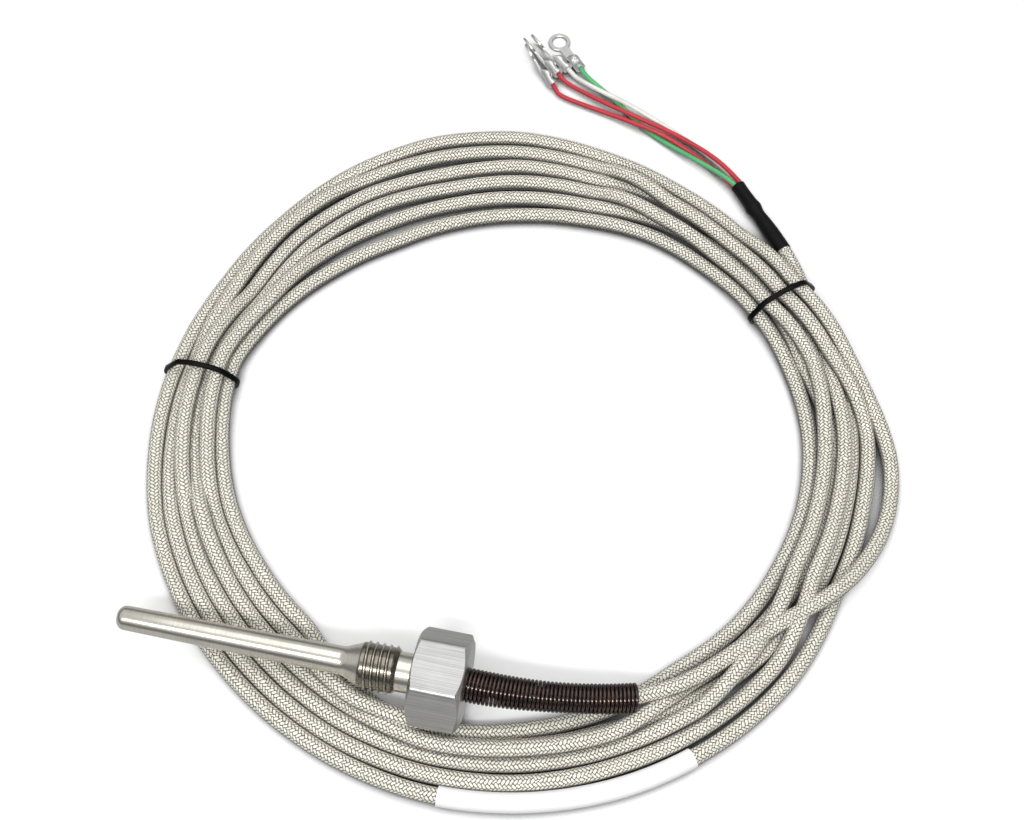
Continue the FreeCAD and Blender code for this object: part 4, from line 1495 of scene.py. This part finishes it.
@dataclass
class Studio:
    """Camera at the photograph's angle, pale floor, white background and soft lamps."""

    aim_mm: tuple = (14.6, 93.2)
    distance_mm: float = 514.0
    elevation_deg: float = 62.55
    heading_deg: float = 11.5
    focal_px: float = 1659.6
    width_px: int = 1024
    middle_m: tuple = (0.02, 0.09)
    floor_size: float = 6.0
    floor_bounce: float = 0.16
    floor_pale: tuple = (0.02, 0.97)
    floor_mirrored: float = 0.55
    floor_glow: float = 0.10
    contact_mm: float = 5.0
    contact_open: tuple = (0.254, 0.6385)
    glow_reach: tuple = (0.327, 0.782)
    wall_radius: float = 1.3
    wall_height: float = 0.62
    wall_shade: float = 0.34
    sky_level: float = 0.95
    sky_mirrored: float = 0.62
    lamps: tuple = (
        ("key_lamp", (0.05, -0.50, 0.74), (1.0, 0.12), 4.9),
        ("top_lamp", (0.02, 0.38, 1.12), (0.9, 0.9), 2.6),
    )

    def camera(self) -> None:
        """Make the camera and set it as the scene's own."""
        data = bpy.data.cameras.new("camera")
        data.sensor_width = 36.0
        data.lens = self.focal_px / self.width_px * data.sensor_width
        data.clip_start = 0.01
        camera = bpy.data.objects.new("camera", data)
        bpy.context.collection.objects.link(camera)
        turn, rise = math.radians(self.heading_deg), math.radians(self.elevation_deg)
        right = Vector((math.cos(turn), math.sin(turn), 0))
        away = Vector((-math.sin(turn), math.cos(turn), 0))
        back = UP * math.sin(rise) - away * math.cos(rise)
        place = Matrix((right, back.cross(right), back)).transposed().to_4x4()
        place.translation = raised(*self.aim_mm, 0.0) + back * self.distance_mm * MM
        camera.matrix_world = place
        bpy.context.scene.camera = camera
        bpy.context.scene.view_settings.view_transform = "Standard"

    def floor(self) -> None:
        """Lay the pale floor, which has painted shadow under and close round the object and glows far from
        it.

        The camera sees it pale, a polished surface mirrors it dimmer, and to all other
        light it is a mid grey.
        """
        deselect()
        place = (*self.middle_m, FLOOR_Z - 0.1 * MM)
        bpy.ops.mesh.primitive_plane_add(size=self.floor_size, location=place)
        floor = bpy.context.object
        floor.name = "floor"
        material, sheet, shader, places = open_material("pale_floor")
        sheet.feed_all(shader, {
            "Base Color": grey(self.floor_bounce), "Roughness": 0.9, "Specular IOR Level": 0.0})
        # Painted contact shadow: the floor's colour and its glow go dark where the object stands close by.
        near = sheet.run("ShaderNodeAmbientOcclusion", None, self.contact_mm * MM, pick=1, samples=6)
        open_share = sheet.ramp(near, *self.contact_open)
        pale = sheet.run("ShaderNodeBsdfDiffuse", sheet.tint(open_share, *map(grey, self.floor_pale)))
        glow = sheet.run("ShaderNodeEmission", sheet.tint(open_share, grey(0.0), grey(1.0)))
        mirrored = sheet.run("ShaderNodeEmission", grey(self.floor_mirrored))
        reach = sheet.run("ShaderNodeVectorMath", places["Object"], pick=1, operation="LENGTH")
        glowing = sheet.mix(sheet.ramp(reach, *self.glow_reach), self.floor_glow, 1.0)
        seen, glossy = sheet.ray_shares()
        clean = sheet.run("ShaderNodeMixShader", glowing, pale, glow)
        dim = sheet.run("ShaderNodeMixShader", glossy, shader.outputs[0], mirrored)
        blend = sheet.run("ShaderNodeMixShader", seen, dim, clean)
        sheet.feed(material.node_tree.nodes["Material Output"].inputs["Surface"], blend)
        floor.data.materials.append(material)

    def wall(self) -> None:
        """Stand a low dark wall far round the object, unseen, which darkens its flanks."""
        deselect()
        bpy.ops.mesh.primitive_cylinder_add(
            vertices=64, radius=self.wall_radius, depth=self.wall_height, end_fill_type="NOTHING",
            location=(*self.middle_m, FLOOR_Z + self.wall_height / 2))
        wall = bpy.context.object
        wall.name = "dark_wall"
        material, sheet, shader, _ = open_material("dark_cloth")
        sheet.feed_all(shader, {"Base Color": grey(self.wall_shade), "Roughness": 1.0})
        wall.data.materials.append(material)
        for ray in ("camera", "shadow", "transmission", "volume_scatter"):
            setattr(wall, "visible_" + ray, False)

    def world(self) -> None:
        """Light the scene from all round and show white behind it."""
        world = bpy.data.worlds.new("studio")
        world.use_nodes = True
        bpy.context.scene.world = world
        sheet = NodeSheet(world.node_tree)
        seen, glossy = sheet.ray_shares()
        strength = sheet.mix(seen, sheet.mix(glossy, self.sky_level, self.sky_mirrored), 1.0)
        sheet.feed_all(world.node_tree.nodes["Background"], {"Color": grey(1.0), "Strength": strength})

    def lamp(self, name: str, place: tuple, size: tuple, watts: float) -> None:
        """Hang one soft lamp that looks at the object.

        Args:
            name: The lamp's name.
            place: Its place in metres.
            size: Its face's length along the probe and its width.
            watts: Its power.
        """
        data = bpy.data.lights.new(name, "AREA")
        data.shape = "RECTANGLE"
        data.size, data.size_y = size
        data.energy = watts
        lamp = bpy.data.objects.new(name, data)
        lamp.location = place
        back = (Vector(place) - raised(*self.aim_mm, 0.0)).normalized()
        side = (Vector((1, 0, 0)) - back * back.x).normalized()
        lamp.rotation_euler = Matrix((side, back.cross(side), back)).transposed().to_euler()
        bpy.context.collection.objects.link(lamp)

    def build(self) -> None:
        """Set the floor, the wall and all the light up."""
        self.floor()
        self.wall()
        self.world()
        for lamp in self.lamps:
            self.lamp(*lamp)


LEADS = (
    Lead("lead_red_upper", Insulation.RED, 1, 1, (
        (62.0, 198.6, 3.1), (46.8, 205.6, 3.0), (36.0, 209.2, 2.7), (22.0, 214.2, 2.0)),
        RingTerminal("stamped_terminal_red_upper", (4.6, 223.2, 1.95), (138.0, 8.0, 66.0))),
    Lead("lead_green", Insulation.GREEN, -1, 1, (
        (57.8, 195.5, 3.0), (43.1, 203.3, 0.9), (36.0, 207.8, 0.9), (26.0, 216.5, 0.9)),
        RingTerminal("stamped_terminal_green", (11.6, 227.2, 1.82), (131.0, 0.0, 0.0))),
    Lead("lead_red_lower", Insulation.RED, -1, -1, (
        (60.5, 196.6, 0.9), (45.0, 204.2, 2.5), (36.0, 206.6, 2.7), (24.0, 210.4, 1.4)),
        RingTerminal("stamped_terminal_red_lower", (3.7, 218.0, 2.0), (128.0, 9.5, 68.0))),
    Lead("lead_white", Insulation.WHITE, 1, -1, (
        (61.5, 199.8, 0.9), (46.4, 208.0, 1.0), (31.0, 214.4, 2.7), (20.0, 218.4, 2.6)),
        RingTerminal("stamped_terminal_white", (7.4, 226.0, 1.95), (141.0, 8.0, 66.0))),
)
KEPT_NODES = {
    "sensing_element": "fired_ceramic", "tip_filler": "packed_powder", "element_insulator": "fired_ceramic",
    "element_wires": "tinned_copper", "splice_crimps": "tinned_copper", "splice_sleeves": "thin_sleeve",
    "cable_cores": "white_insulation", "potting_plug": "cast_resin", "crimp_ferrule": "turned_steel",
    "strain_relief_spring": "spring_wire", "conductor_ends": "tinned_copper",
}


def main() -> None:
    """Build every piece in order, dress the kept nodes and set the studio up."""
    logging.basicConfig(level=logging.INFO, format="%(name)s: %(message)s")
    studio = Studio()
    studio.camera()
    finishes = Finishes()
    cable = Cable()
    braided = cable.build(finishes)
    leads = [piece for lead in LEADS for piece in lead.build(cable, finishes)]
    ties = [
        CableTie("strap_right", cable.tie_stations[0], "tie_right").build(cable, finishes),
        CableTie("strap_left", cable.tie_stations[1], "tie_left").build(cable, finishes),
    ]
    sleeves = Sleeves()
    bare = sleeves.label(cable, finishes)
    shrunk = sleeves.end(cable, finishes)
    cable.declare(braided)
    body = ProbeBody().build(finishes)
    for node, finish in KEPT_NODES.items():
        finishes.dress(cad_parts[node], finish)
    studio.build()
    for piece in (braided, *leads, *ties, bare, shrunk, body):
        LOG.info("%s has %d faces", piece.name, len(piece.data.polygons))
    LOG.info("cable length %.3f m", line_length(cable.points))


if __name__ == "__main__":
    main()
